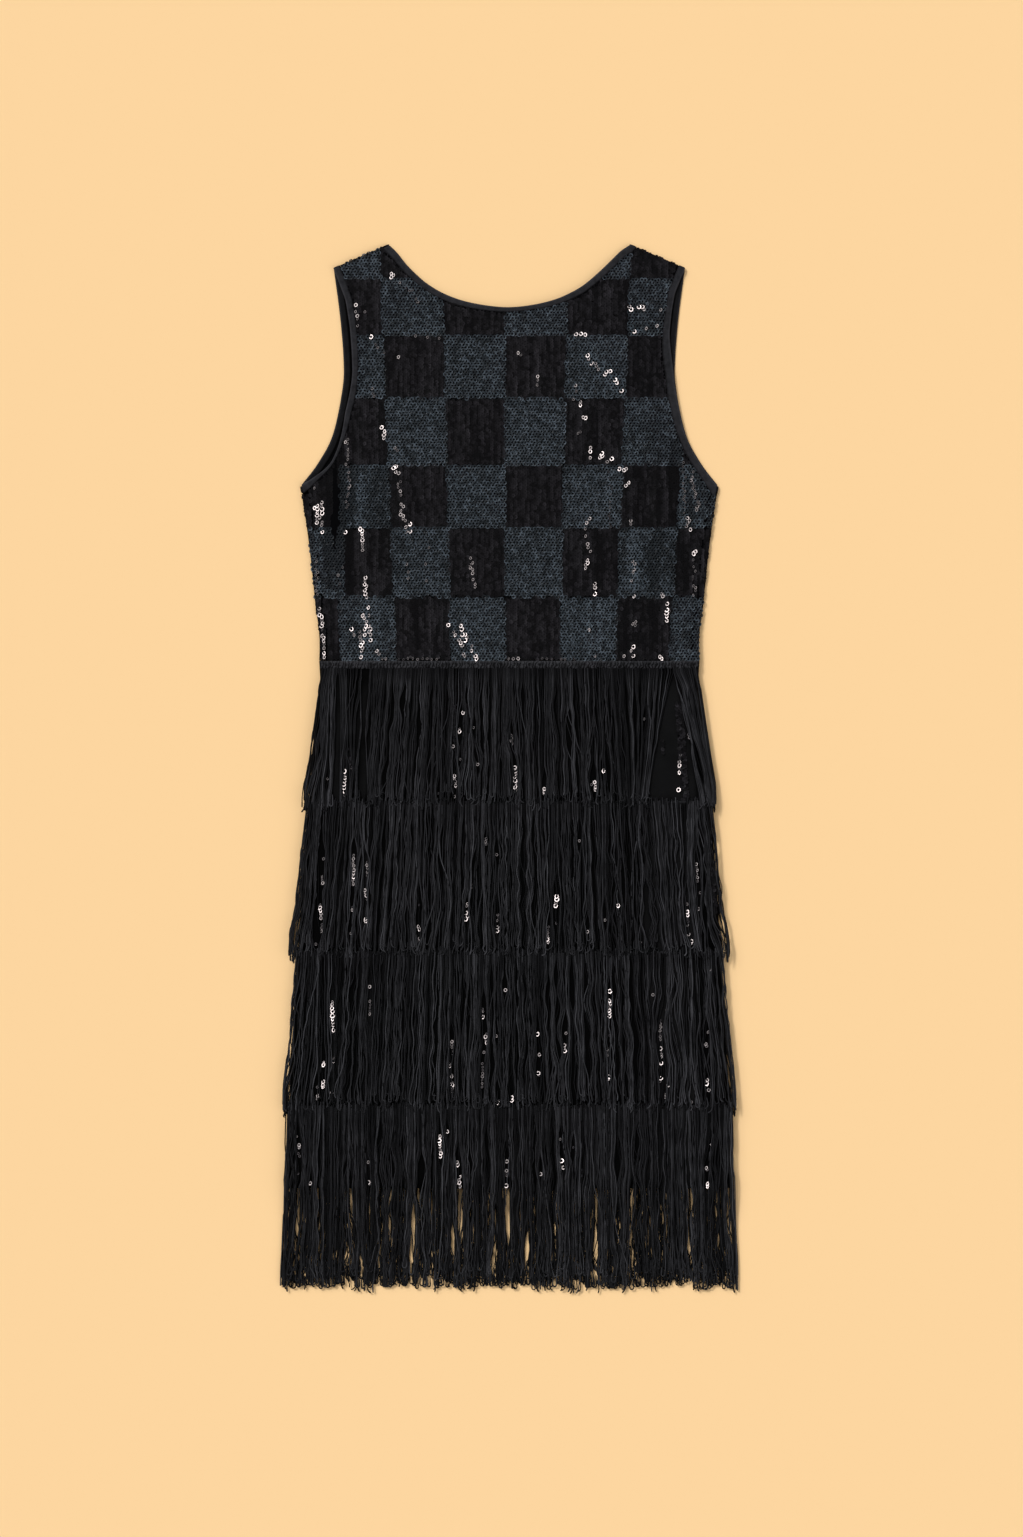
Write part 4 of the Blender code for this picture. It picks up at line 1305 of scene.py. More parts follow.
    def scatter(self, rng: Rng) -> tuple[Array, Array, Array]:
        """Places of the sequins on the front panel, its flaps and its shoulders.

        Args:
            rng: the source of chance.

        Returns:
            The places, which of them are slate, and which are on a flap.
        """
        form = self.form
        sown = []
        for kind in Check:
            places = self.lattice(kind, rng)
            row, column = self.squares(*places.T)
            sown.append(places[(row + column) % 2 == float(kind is Check.SLATE)])
        slate = np.repeat((True, False), [len(places) for places in sown])
        places = np.vstack(sown)
        x, y = places.T
        side = np.where(x < 0, *(form.front_edge(form.arms[name], y) for name in ("left", "right")))
        on_panel = (np.abs(x) < side) & (y < form.neck_bottom(x, over=form.cloth.outside - self.shoulder_rim))
        inside = form.half_width(y) - np.abs(x)
        flap_top = self.flap_top - (np.abs(x) - self.flap_top_x) * self.flap_top_slope
        on_flap = (inside < form.cloth.flap - self.flap_start) & (inside > self.flap_rim) & (y < flap_top)
        on_flap &= ~on_panel
        # Sequins are left off the fold's strip, so the dark net shows as painted shade.
        aside = np.abs(x - np.interp(y, self.fold_shade["y"], self.fold_shade["x"]))
        tucked = aside < np.interp(y, self.fold_shade["y"], self.fold_shade["half"])
        kept = (on_panel & ~tucked) | on_flap
        return places[kept], slate[kept], on_flap[kept]

    def laid(self, places: Array, flap: Array) -> tuple[Array, Array]:
        """The sequins' heights and normals: on the front cloth, and on half circles round its folds.

        Args:
            places: their x and y.
            flap: which are on a flap.

        Returns:
            The heights and the normals.
        """
        form = self.form
        x, y = places.T
        sunk = self.sunk * (1.0 - ease(form.from_tapes(places) / self.sunk_reach))
        heights = form.top(x, y) + self.lift - sunk
        normals = form.normals(x, y)
        radius = form.cloth.outside + self.round_fold
        from_shoulder = form.from_shoulder(x, y)
        for chosen, inside, out in (
            (flap, form.half_width(y) - np.abs(x), (1.0, 0.0)),
            (~flap & (from_shoulder < radius), from_shoulder, form.off_shoulder),
        ):
            roll = np.clip((radius - inside[chosen]) / radius, 0.0, self.steepest_roll)
            level = np.sqrt(1.0 - roll**2)
            heights[chosen] = form.rise(y[chosen]) + form.cloth.outside + (radius + self.fold_lift) * level
            normals[chosen] = np.column_stack([np.sign(x[chosen]) * roll * out[0], roll * out[1], level])
        return heights, normals

    def streaks(self, x: Array, y: Array, rng: Rng) -> Array:
        """Soft upright streaks: each column has its own level, and waves along it of its own phases.

        Args:
            x: the sequins' x.
            y: their y.
            rng: the source of chance.

        Returns:
            How strong each sequin's streak is, about -1 to 1: it tilts and lifts the sequins, and part of it
            is painted reflection in their tone.
        """
        column = np.round((x - x.min()) / self.column_pitch).astype(int)
        level = rng.normal(0, self.streak_level, column.max() + 1)[column]
        for reach, wavelength in self.streak_waves:
            phase = rng.random(column.max() + 1)[column]
            level = level + reach * np.sin(TURN * (y / wavelength + phase))
        return np.clip(level, *self.streak_limits)

    def bared(self, places: Array, rng: Rng) -> tuple[Array, Array]:
        """Finds the sequins nearest to each glinting run, which stand up towards the light and get a painted
        glint in their film.

        Args:
            places: the sequins' x and y.
            rng: the source of chance.

        Returns:
            Their numbers, and how bright each is from 0 to 1.
        """
        chosen, bright = [], []
        for row in self.glints:
            count = int(np.ceil(row["count"] * self.run_fill))
            points = along_run(row, np.linspace(0, 1, count)[:, None])
            points = points + rng.normal(0, self.run_spread, (count, 2))
            for point in points:
                near = int(np.linalg.norm(places - point, axis=1).argmin())
                if not chosen or np.linalg.norm(places[chosen] - places[near], axis=1).min() > self.apart:
                    chosen.append(near)
                    uneven = rng.normal(1.0, self.run_uneven)
                    bright.append(float(np.clip(row["bright"] * uneven, self.dimmest, 1.0)))
        return np.array(chosen), np.array(bright)

    def build(self) -> list[Piece]:
        """Builds and dresses the sequins of both kinds of square, and those of the skirt.

        Returns:
            The pieces.
        """
        rng = np.random.default_rng(self.seed)
        places, slate, flap = self.scatter(rng)
        count = len(places)

        def sewn(name: str) -> Array:
            """One of the sewings' values for each sequin, by its kind."""
            return np.where(slate, getattr(self.slate, name), getattr(self.black, name))

        heights, normals = self.laid(places, flap)
        streak = self.streaks(*places.T, rng)
        band = ridges(self.painted_light_bands, *places.T, self.band_taper)
        uneven = rng.normal(0, 1, (count, 3)) * sewn("uneven")[:, None]
        uneven[:, 0] -= sewn("streak_tilt") * streak + self.band_tilt * np.clip(band, *self.band_limits)
        faced = unit(normals + np.where(slate[:, None], self.slate.tilt, self.black.tilt) + uneven)
        loose = rng.uniform(-self.loose, self.loose, count) * sewn("loose")
        centres = np.column_stack([places, heights + loose + sewn("streak_lift") * streak])
        tone = rng.normal(0, 1, count) * sewn("tone_spread")
        # The bands' part of the tone is painted light and shade of the folds, and the streaks' part is
        # painted reflection.
        tone = np.clip(tone + sewn("tone") + sewn("streak_painted_reflection") * streak + band, 0.0, DYED_FILM)
        # The glinting sequins, whose film is a painted highlight.
        painted_glint, bright = self.bared(places, rng)
        kept = np.ones(count, bool)
        kept[painted_glint] = False
        any_way, upright = rng.uniform(0, TURN, count), rng.normal(0, 0.2, count)
        frames = frames_about(faced, np.where(slate, any_way, upright))
        pieces = []
        for kind, sewing, chosen in (
            (Check.SLATE, self.slate, slate & kept),
            (Check.BLACK, self.black, ~slate & kept),
        ):
            tones = np.clip(tone[chosen][:, None] * sewing.ring.painted_light_shares(), 0.0, DYED_FILM)
            name = f"bodice_sequins_{kind.value}"
            piece = sewing.ring.strewn(name, centres[chosen], frames[chosen], tones)
            pieces.append(dress(piece, sewing.film.material()))
        pieces.append(self.lit("bodice_sequins_lit", centres[painted_glint] + (0.0, 0.0, self.lit_lift), bright, rng))
        return [*pieces, self.skirt(rng), self.trim(rng)]

    def lit(self, name: str, centres: Array, bright: Array, rng: Rng) -> Piece:
        """Wide rings turned half way between straight up and the light, each a little narrowed, whose film is
        a painted glint.

        Args:
            name: the piece's name.
            centres: where each ring is.
            bright: how strong each ring's painted glint is, from 0 to 1.
            rng: the source of chance.

        Returns:
            The new object.
        """
        count = len(centres)
        half_way = unit(unit(np.array(KEY_LIGHT)) + (0.0, 0, 1))
        off = rng.normal(0, self.lit_uneven, (count, 3))
        off = off + (1.0 - bright)[:, None] * rng.normal(0, self.dim_uneven, (count, 3))
        frames = frames_about(unit(half_way + off), rng.uniform(-0.4, 0.4, count))
        frames[:, 0] *= rng.uniform(self.narrowest, 1.0, count)[:, None]
        frames[:, :2] *= (0.5 + 0.55 * bright * rng.uniform(0.8, 1.15, count))[:, None, None]
        # Painted highlight: the brighter the glint, the lighter and more metal the film.
        tone = PAINTED_GLINT_TONE + (1.0 - PAINTED_GLINT_TONE) * bright**1.4
        piece = self.wide.strewn(name, centres, frames, tone[:, None] * self.wide.painted_light_shares())
        return dress(piece, BLACK_FILM.material())

    def on_skirt(self, spots: list[Array], uneven: float, lift: float, rng: Rng) -> Array:
        """Centres at a lift over the skirt's base, each a little off its spot.

        Args:
            spots: runs of x and y.
            uneven: how far off on the average.
            lift: how far up.
            rng: the source of chance.

        Returns:
            One centre a row.
        """
        flat = np.concatenate(spots)
        flat = flat + rng.normal(0, uneven, flat.shape)
        return np.column_stack([flat, self.form.top(*flat.T) + lift])

    def skirt(self, rng: Rng) -> Piece:
        """Rings sewn to the skirt's base in upright runs, which show where the fringe parts."""
        spots, bright = [], []
        for run in np.concatenate(list(SKIRT_GLINTS.values())):
            count = max(1, int(round((run["y0"] - run["y1"]) / self.skirt_pitch)))
            spots.append(along_run(run, np.linspace(0, 1, count + 2)[1:-1, None]))
            bright.append(run["bright"] * rng.normal(1.0, self.skirt_uneven, count))
        centres = self.on_skirt(spots, 0.35, self.skirt_lift, rng)
        bright = np.clip(np.concatenate(bright), self.skirt_dimmest, 1.0)
        # Each ring's film is a painted glint, as strong as its run's brightness.
        return self.lit("skirt_sequins_lit", centres, bright, rng)

    def trim(self, rng: Rng) -> Piece:
        """Black sequins in close upright columns on the skirt's base, seen where the fringe parts widely."""
        spots = []
        for run in self.trims:
            for column in range(int(run["count"])):
                y = np.arange(run["y0"] - 1.4 * (column % 2), run["y1"], -self.trim_pitch)
                share = (run["y0"] - y) / (run["y0"] - run["y1"])
                aside = (column - 0.5 * (run["count"] - 1)) * self.column_pitch
                spots.append(np.column_stack([run["x0"] + (run["x1"] - run["x0"]) * share + aside, y]))
        centres = self.on_skirt(spots, 0.3, self.trim_lift, rng)
        faced = unit(rng.normal(0, 0.2, centres.shape) + (0.0, 0, 1))
        frames = frames_about(faced, rng.uniform(0, 6.0, len(centres)))
        tone = np.clip(rng.normal(0.1, 0.2, len(centres)), 0.0, 0.75)
        ring = self.black.ring
        piece = ring.strewn("skirt_sequins_black", centres, frames, tone[:, None] * ring.painted_light_shares())
        return dress(piece, BLACK_FILM.material())


# ---- Bias tape -------------------------------------------------------


@dataclass
class Bindings:
    """Bias tape folded over the neck's and the armholes' edges, as rings over the shoulders."""

    form: Form
    thickness: float = 2.2
    samples: int = 121
    turn_steps: int = 7
    section: int = 14
    # The back stretch's tone: painted shade where it lies beside and under the front's tape.
    back_painted_shade: float = 0.3

    def profile(self) -> tuple[Array, Array]:
        """A folded tape's cross-section: a flat loop whose corners are rounded, across and out."""
        angle = np.linspace(0, TURN, self.section, endpoint=False)
        across = 0.5 + 0.5 * np.sign(np.cos(angle)) * np.abs(np.cos(angle)) ** 0.6
        out = 0.5 + 0.5 * np.sign(np.sin(angle)) * np.abs(np.sin(angle)) ** 0.7
        return across, out

    def ring(self, name: str, front: tuple, back: tuple, over: Array, under: Array, sign: int) -> Piece:
        """Carries the section along the front edge, over one fold, along the back edge and over the other.

        Args:
            name: the piece's name.
            front: the front stretch's free and cloth edges.
            back: the back stretch's free and cloth edges.
            over: the way out of the dress at the far end.
            under: the way out of the dress at the start.
            sign: -1 to mirror the ring to the left side.

        Returns:
            The new object.
        """
        form = self.form
        across, out = self.profile()

        def levels(line: Array, face: Face) -> tuple[Array, Array]:
            """The inside and outside heights along an edge, as columns."""
            if face is Face.FRONT:
                inside = form.top(line[:, 0] * sign, line[:, 1])[:, None] - form.cloth.wall
                return inside, inside + self.thickness
            outside = form.rise(line[:, 1])[:, None]
            return outside + form.cloth.wall, outside

        def sections(edges: tuple, face: Face) -> Array:
            """Section points along a stretch."""
            free, inner = edges
            (free_in, free_out), (inner_in, inner_out) = (levels(line, face) for line in edges)
            share = across[None, :, None]
            flat = free[:, None, :] * (1.0 - share) + inner[:, None, :] * share
            low = free_in * (1.0 - across) + inner_in * across
            high = free_out * (1.0 - across) + inner_out * across
            height = low + (high - low) * out[None, :]
            return np.concatenate([flat, height[..., None]], axis=2)

        def turn(first: Array, last: Array, direction: Array) -> Array:
            """Section points round a fold: half an ellipse for each point of the section."""
            middle = (first[:, 2].min() + last[:, 2].max()) / 2
            angle = np.linspace(0, np.pi, self.turn_steps + 2)[1:-1]
            share = ((1.0 - np.cos(angle)) / 2)[:, None]
            reach = np.abs((1.0 - share) * (first[:, 2] - middle) + share * (middle - last[:, 2]))
            flat = (1.0 - share)[..., None] * first[None, :, :2] + share[..., None] * last[None, :, :2]
            moved = flat + (np.sin(angle)[:, None] * reach)[..., None] * direction
            height = middle + np.cos(angle)[:, None] * reach
            return np.concatenate([moved, height[..., None]], axis=2)

        front_run = sections(front, Face.FRONT)
        back_run = sections(back, Face.BACK)[::-1]
        path = np.concatenate([front_run, turn(front_run[-1], back_run[0], over), back_run])
        path = np.concatenate([path, turn(back_run[-1], front_run[0], under)])
        count = len(path)
        faces = grid_faces(count, self.section, closed_rows=True, closed_columns=True)
        middle = path.mean(axis=1)
        step = np.linalg.norm(np.diff(np.vstack([middle, middle[:1]]), axis=0), axis=1)
        length = np.concatenate([[0.0], np.cumsum(step)[:-1]])
        uv = np.column_stack([np.tile(across, count), np.repeat(length, self.section)])
        points = path.reshape(-1, 3) * (sign, 1, 1)
        if sign > 0:
            faces = faces[:, ::-1]
        piece = make_mesh(name, points, faces)
        add_uv(piece, uv)
        # The back stretch is darker: painted shade.
        front_steps = len(front_run) + self.turn_steps
        faced = np.where(np.arange(count) < front_steps, 1.0, self.back_painted_shade)
        add_tone(piece, np.repeat(faced, self.section))
        return piece

    def build(self) -> list[Piece]:
        """Builds and dresses the three rings.

        Returns:
            The pieces.
        """
        form = self.form
        finish = BIAS_TAPE.material()
        neck = form.neck_edges(2 * self.samples - 1)
        off = form.off_shoulder
        rings = [("neck_tape", "neck_binding", neck, neck, off, off * (-1, 1), 1)]
        back = form.arm_edges(form.arms["back"], self.samples)
        for side, sign in (("left", -1), ("right", 1)):
            front = form.arm_edges(form.arms[side], self.samples)
            name, node = f"armhole_tape_{side}", f"armhole_binding_{side}"
            rings.append((name, node, front, back, off, np.array([1.0, 0.0]), sign))
        return [dress(self.ring(name, *run), finish, node) for name, node, *run in rings]


# ---- Fringe ----------------------------------------------------------


@dataclass
class Fringe:
    """Header tapes and the looped strands that hang from them, front and back."""

    form: Form
    header: float = 8.0
    header_wall: float = 1.2
    header_edge: float = 0.35
    tucked: float = 1.2
    covered_start: float = 0.8
    rib: float = 0.16
    rib_pitch: float = 3.3
    # The waist header's tone, then the lower headers': painted shade where the tier above covers them.
    header_painted_shade: Pair = (1.0, 0.15)
    front_strands: tuple[int, int] = (560, 790)
    back_strands: tuple[int, int] = (240, 420)
    back_seed: int = 100
    points: int = 30
    back_points: int = 12
    tail_points: int = 6
    sides: int = 3
    radius: float = 0.62
    flatness: float = 0.85
    thickness: Pair = (0.85, 1.15)
    tail_thick: float = 1.25
    tip_thick: float = 0.6
    tail: float = 5.0
    loop_radius: Pair = (1.1, 2.1)
    loop_open: float = 1.8
    loop_back: Pair = (4.0, 10.0)
    trail_turn: float = 0.8
    trail_steps: Pair = (0.4, 1.3)
    looped: Pair = (0.12, 0.65)
    root_spread: Pair = (-3.0, 5.0)
    back_tips: Pair = (-9.0, 4.0)
    last_back_tips: Pair = (-496.0, -470.0)
    strand_waves: Waves = ((0.6, 95.0), (0.42, 42.0), (0.26, 21.0))
    parting_waves: Waves = ((1.4, 110.0), (0.8, 48.0), (0.45, 24.0))
    stillness: tuple[float, ...] = (0.55, 0.75, 0.7, 0.8)
    parting_pitch: Pair = (4.0, 13.0)
    widest: dict[Face, float] = field(default_factory=lambda: {Face.FRONT: 1.8, Face.BACK: 0.35})
    stray_share: float = 0.18
    stray_reach: float = 6.5
    stray_from: Pair = (0.05, 0.7)
    opens_over: float = 0.25
    root_jitter: float = 0.7
    side_room: float = 0.9
    first_waves: float = 0.7
    end_waves: float = 1.6
    lock_tips: Pair = (0.5, 0.2)
    corner_drop: float = 6.0
    glint_half: float = 2.2
    weigh_reach: float = 7.0
    closes_over: float = 16.0
    apart: float = 4.0
    loosens_at: float = 0.6
    tip_flare: float = 4.0
    lock_tone: float = 0.05
    # Painted shade: strands lower in a tier and at a lock's edges are darker, and the back's last tier is
    # darker still.
    layer_painted_shade: float = 0.3
    lock_middle_painted_light: float = 0.2
    base_tone: float = -0.3
    last_tone: dict[Face, float] = field(default_factory=lambda: {Face.FRONT: -0.08, Face.BACK: -0.12})
    root_shade: Pair = (0.4, 0.85)
    sheen: Pair = (0.85, 0.28)
    lowest: float = 0.95
    depth: float = 1.05
    over_header: float = 1.1
    over_next: float = 1.6
    floor_height: float = 2.75
    floor_depth: float = 0.7
    droop: float = 46.0
    floor_gaps: Array = fixed(
        "x y0 y1 half",
        (-203, -402, -452, 1.7), (-177, -462, -482, 0.8), (-152, -402, -434, 2), (-148, -459, -475, 0.9),
        (-142, -484, -520, 3.2), (-134, -420, -450, 0.9), (-95, -470, -520, 3), (-92, -432, -470, 2.2),
        (-54, -458, -520, 2.6), (-47, -400, -475, 2.8), (-28, -478, -520, 1), (-17, -475, -520, 3),
        (-13, -432, -475, 1.5), (-2, -400, -454, 2.3), (17, -458, -520, 2.4), (81, -470, -520, 3.2),
        (83, -415, -470, 2), (95, -483, -520, 1), (113, -442, -470, 2.2), (116, -468, -520, 3.2),
        (118, -405, -452, 2), (155, -479, -520, 0.8), (182, -486, -520, 1), (205, -456, -492, 1),
        (210, -402, -452, 2), (214, -455, -490, 1.1),
    )

    def tape(self, tier: Tier, face: Face) -> Piece:
        """A header tape: a flat band along the cloth, with low ribs across it where strands are sewn in."""
        form = self.form
        waist = tier.number == 1
        columns, rows = (640, 9) if face is Face.FRONT and waist else (120, 5)
        x = np.linspace(-tier.root_half, tier.root_half, columns)[None, :]
        y = tier.top - self.header * np.linspace(1.0, 0.0, rows)[:, None]
        x, y = np.broadcast_arrays(x, y)
        edge = 1.0 - np.abs(np.linspace(-1, 1, rows))[:, None] ** 6
        rib = self.rib * np.sin(x * TURN / self.rib_pitch) * edge
        crown = (self.header_wall - 0.5) * edge
        if face is Face.FRONT:
            low = form.top(x, y) + form.cloth.gap
            high = low + self.header_edge + crown + rib
        else:
            high = np.full(x.shape, form.cloth.skirt_rise - form.cloth.gap)
            low = high - self.header_edge - crown - rib
        piece = slab(f"{face.value}_fringe_tape_{tier.number}", stacked(x, y, high), stacked(x, y, low))
        co = vertices(piece)
        add_uv(piece, np.column_stack([(tier.top - co[:, 1]) / self.header, co[:, 0]]))
        # Lower headers are darker: painted shade under the tier above.
        add_tone(piece, np.full(len(co), self.header_painted_shade[0 if waist else 1]))
        return piece

    def spans(self, tier: Tier, face: Face) -> list[Array]:
        """Known partings in groups, as x0, y0, x1, y1 and half width: at lit sequins and over the floor."""
        rows = []
        if face is Face.FRONT:
            for run in SKIRT_GLINTS[tier.number]:
                rows.append((run["x0"], run["y0"] + 1.0, run["x1"], run["y1"] - 1.0, self.glint_half))
        if tier.number == 4:
            rows += [(gap["x"], gap["y0"], gap["x"], gap["y1"], gap["half"]) for gap in self.floor_gaps]
        rows = np.array(sorted(rows, key=lambda row: row[0] + row[2])).reshape(-1, 5)
        if face is Face.FRONT:
            for end in (0, 2):
                column = slice(end, end + 1)
                rows[:, column] = self.beside(tier, rows[:, column], rows[:, end + 1 : end + 2], back=True)
            rows = rows[np.argsort(rows[:, 0] + rows[:, 2])]
        middle = 0.5 * (rows[:, 0] + rows[:, 2])
        return np.split(rows, np.nonzero(np.diff(middle) > self.apart)[0] + 1) if len(rows) else []

    def beside(self, tier: Tier, x: Array, y: Array, back: bool = False) -> Array:
        """Moves strands out of the tier's wide wedges, the less the further off they are, or back again.

        Args:
            tier: its places.
            x: where, across, a row for each strand.
            y: where, along.
            back: whether to find where places lay before they moved.

        Returns:
            The new x.
        """
        for wedge in WEDGES[WEDGES["tier"] == tier.number]:
            middle, half = wedge_at(wedge, y)
            side = np.where((x - middle).mean(axis=1, keepdims=True) < 0.0, -1.0, 1.0)
            far, close = (x - middle) * side, 1.0 - half / wedge["reach"]
            moved = np.maximum(far - half, 0.0) / close if back else half + np.maximum(far, 0.0) * close
            x = np.where(far < wedge["reach"], x + side * (moved - far), x)
        return x

    def known(self, tier: Tier, face: Face, t: Array, low: float) -> tuple[list, list, list]:
        """The partings that pass through the tier's spans, each weighed by how near it is.

        Args:
            tier: its places.
            face: which side of the dress.
            t: the shares of the length.
            low: the y of the lowest tips.

        Returns:
            Their x at the tips' width, their lines, and half their openings, which close beyond their spans.
        """
        height = tier.top + (low - tier.top) * t
        flare = tier.root_half / tier.tip_half
        places, lines, gaps = [], [], []
        for group in self.spans(tier, face):
            beyond = np.maximum(np.maximum(height - group[:, 1:2], group[:, 3:4] - height), 0.0)
            weight = np.exp(-beyond / self.weigh_reach) + 1e-6
            x = np.array([np.interp(-height, (-row[1], -row[3]), (row[0], row[2])) for row in group])
            line = (weight * x).sum(axis=0) / weight.sum(axis=0) / (flare + (1.0 - flare) * t)
            near = int(weight.sum(axis=1).argmax())
            places.append(line[int(weight[near].argmax())])
            lines.append(line)
            gaps.append((group[:, 4:5] * ease(1.0 - beyond / self.closes_over)).max(axis=0))
        return places, lines, gaps

    def openings(self, tier: Tier, face: Face, t: Array, low: float, rng: Rng) -> tuple[Array, Array, Array]:
        """The lines along which the strands part, from the left to the right.

        Those that aren't known lie at uneven distances and wander as sums of sines, and their widths breathe.

        Args:
            tier: its places.
            face: which side of the dress.
            t: the shares of the length.
            low: the y of the lowest tips.
            rng: the source of chance.

        Returns:
            The partings' x at the tips' width, their lines and half their openings, both partings by shares.
        """
        known, lines, gaps = self.known(tier, face, t, low)
        edges = np.cumsum(np.concatenate([[0.0], rng.uniform(*self.parting_pitch, 90)]))
        edges = -tier.tip_half - 1.0 + edges
        edges = np.append(edges[edges < tier.tip_half - 3.0], tier.tip_half + 1.0)
        still = self.stillness[tier.number - 1]
        half = rng.uniform(0.2, self.widest[face], len(edges))
        half[[0, -1]] = 0.0
        near = [min((abs(at - edge) for at in known), default=np.inf) for edge in edges]
        clear = np.array(near) > self.apart
        edges, half = edges[clear], half[clear]
        run = (t * (tier.top - low))[None, :]
        wander = still * self.waves(run, len(edges), self.parting_waves, rng)
        breath = 1.0 + 0.9 * self.waves(run, len(edges), ((0.6, 80.0), (0.6 * still, 36.0)), rng)
        wander = wander * ease(t / 0.3) + edges[:, None]
        gap = half[:, None] * np.clip(breath, 0.0, 2.2)
        if known:
            edges, wander = np.concatenate([edges, known]), np.concatenate([wander, lines])
            gap = np.concatenate([gap, gaps])
        order = np.argsort(edges)
        return edges[order], wander[order], gap[order]

    def tips(self, tier: Tier, face: Face) -> Pair:
        """The y of a tier's lowest and highest tips."""
        if face is Face.FRONT:
            return tier.tip_low, tier.tip_high
        if tier.number == 4:
            return self.last_back_tips
        low, high = self.back_tips
        return TIERS[tier.number].top + low, TIERS[tier.number].top + high

    def strands(self, tier: Tier, face: Face, rng: Rng) -> Piece:
        """Strands that hang in locks: each lock keeps its own place between two wandering partings.

        A strand keeps its share of its lock's width all the way down. Partings open from nothing at the root,
        and a few strands drift across. The last points turn back as a small loop, or trail off aslant.

        Args:
            tier: its places.
            face: which side of the dress.
            rng: the source of chance.

        Returns:
            The new object.
        """
        front, last = face is Face.FRONT, tier.number == 4
        count = (self.front_strands if front else self.back_strands)[last]
        covered = tier.number > 1 and front
        low, high = self.tips(tier, face)
        root_y = tier.top - (self.covered_start if covered else self.header - self.tucked)
        if front:
            root_y = root_y + rng.uniform(*self.root_spread, count)[:, None] * covered
        t = np.linspace(0, 1, self.points if front else self.back_points)
        partings, lines, gap = self.openings(tier, face, t, low, rng)
        t = t[None, :]
        gap = gap * ease(t / self.opens_over)
        width = np.linspace(-1, 1, count) + rng.normal(0, self.root_jitter / count, count)
        flared = np.clip(width, -1.0, 1.0) * (tier.tip_half - self.side_room)
        lock = np.clip(np.searchsorted(partings, flared, side="right") - 1, 0, len(partings) - 2)
        share = ((flared - partings[lock]) / (partings[lock + 1] - partings[lock]))[:, None]
        left, right = (lines + gap)[lock], (lines - gap)[lock + 1]
        flare = tier.root_half / tier.tip_half
        x = (left + (right - left) * share) * (flare + (1.0 - flare) * t)
        own = self.waves(t * (tier.top - low), count, self.strand_waves, rng)
        own = own * (self.first_waves if tier.number == 1 else 1.0)
        own = own * (1.0 + self.end_waves * ease((t - 0.72) / 0.28) * last)
        strays = rng.random((count, 1)) < self.stray_share
        stray = np.where(strays, rng.normal(0, self.stray_reach, (count, 1)), 0.0)
        x = x + own * ease(t * 6.0) + stray * ease((t - rng.uniform(*self.stray_from, (count, 1))) / 0.5)
        lock_low = rng.uniform(0, self.lock_tips[last], len(partings))[lock]
        uneven = rng.uniform(0, 1, count)
        raised = lock_low + (0.7 * uneven**1.3 if last else 0.7 * uneven - 0.1)
        tip_y = low + (high - low) * np.clip(raised, 0, 1)
        if front and not last:
            tip_y = tip_y - self.corner_drop * np.abs(width) ** 8
        y = root_y + (tip_y[:, None] - root_y) * t
        if front:
            x = self.beside(tier, x, y)
        x, y = self.tails(x, y, self.looped[last], rng)
        t = np.hstack([t, np.ones((1, self.tail_points))])
        x = self.held(tier, x, t, rng)
        layer = rng.permutation(np.arange(count) % 4)[:, None] / 3.0
        inner = 1.0 - (2.0 * share - 1.0) ** 2
        z = self.heights(tier, face, x, y, t, layer * (0.2 + 0.8 * inner))
        # Painted shade: lower strands, a lock's edges, the back's last tier and the roots are darker.
        bright = self.lock_tone * rng.normal(0, 1, len(partings))[lock]
        bright = bright + self.layer_painted_shade * layer[:, 0] + self.lock_middle_painted_light * inner[:, 0]
        bright = bright + self.base_tone + self.last_tone[face] * last
        root = self.root_shade[covered]
        shade = np.broadcast_to(root + (1.0 - root) * ease(t * 7.0), (count, t.shape[1]))
        name = f"{face.value}_fringe_strands_{tier.number}"
        return self.tubes(name, stacked(x, y, z), bright, shade, rng)

    def held(self, tier: Tier, x: Array, t: Array, rng: Rng) -> Array:
        """Flares the last of the outermost strands, and holds all of them within the tier's uneven sides.

        Args:
            tier: its places.
            x: where, across, a row for each strand.
            t: the share of a strand that is behind each point.
            rng: the source of chance.

        Returns:
            The new x.
        """
        count = len(x)
        lower = ease((t - self.loosens_at) / (1.0 - self.loosens_at))
        limit = tier.root_half + (tier.tip_half - tier.root_half) * np.clip(t * 1.1, 0, 1)
        slack = 0.7 + np.abs(rng.normal(0, 1.8, (count, 1))) - 2.0 * lower * rng.random((count, 1))
        x = x + np.sign(x) * self.tip_flare * (np.abs(x) / tier.tip_half) ** 6 * lower
        return np.clip(x, -limit + slack, limit - slack)

    def waves(self, run: Array, count: int, sizes: Waves, rng: Rng) -> Array:
        """Waviness of several lengths at once, unlike from line to line.

        Args:
            run: the distance along each line.
            count: how many lines.
            sizes: pairs of how far the waves reach on the average, and how long they are.
            rng: the source of chance.

        Returns:
            How far aside each point is.
        """
        aside = np.zeros((count, run.shape[1]))
        for reach, wavelength in sizes:
            size = rng.normal(0, reach, (count, 1))
            turns = TURN / (wavelength * rng.uniform(0.75, 1.35, (count, 1)))
            aside += size * np.sin(turns * run + rng.uniform(0, TURN, (count, 1)))
        return aside

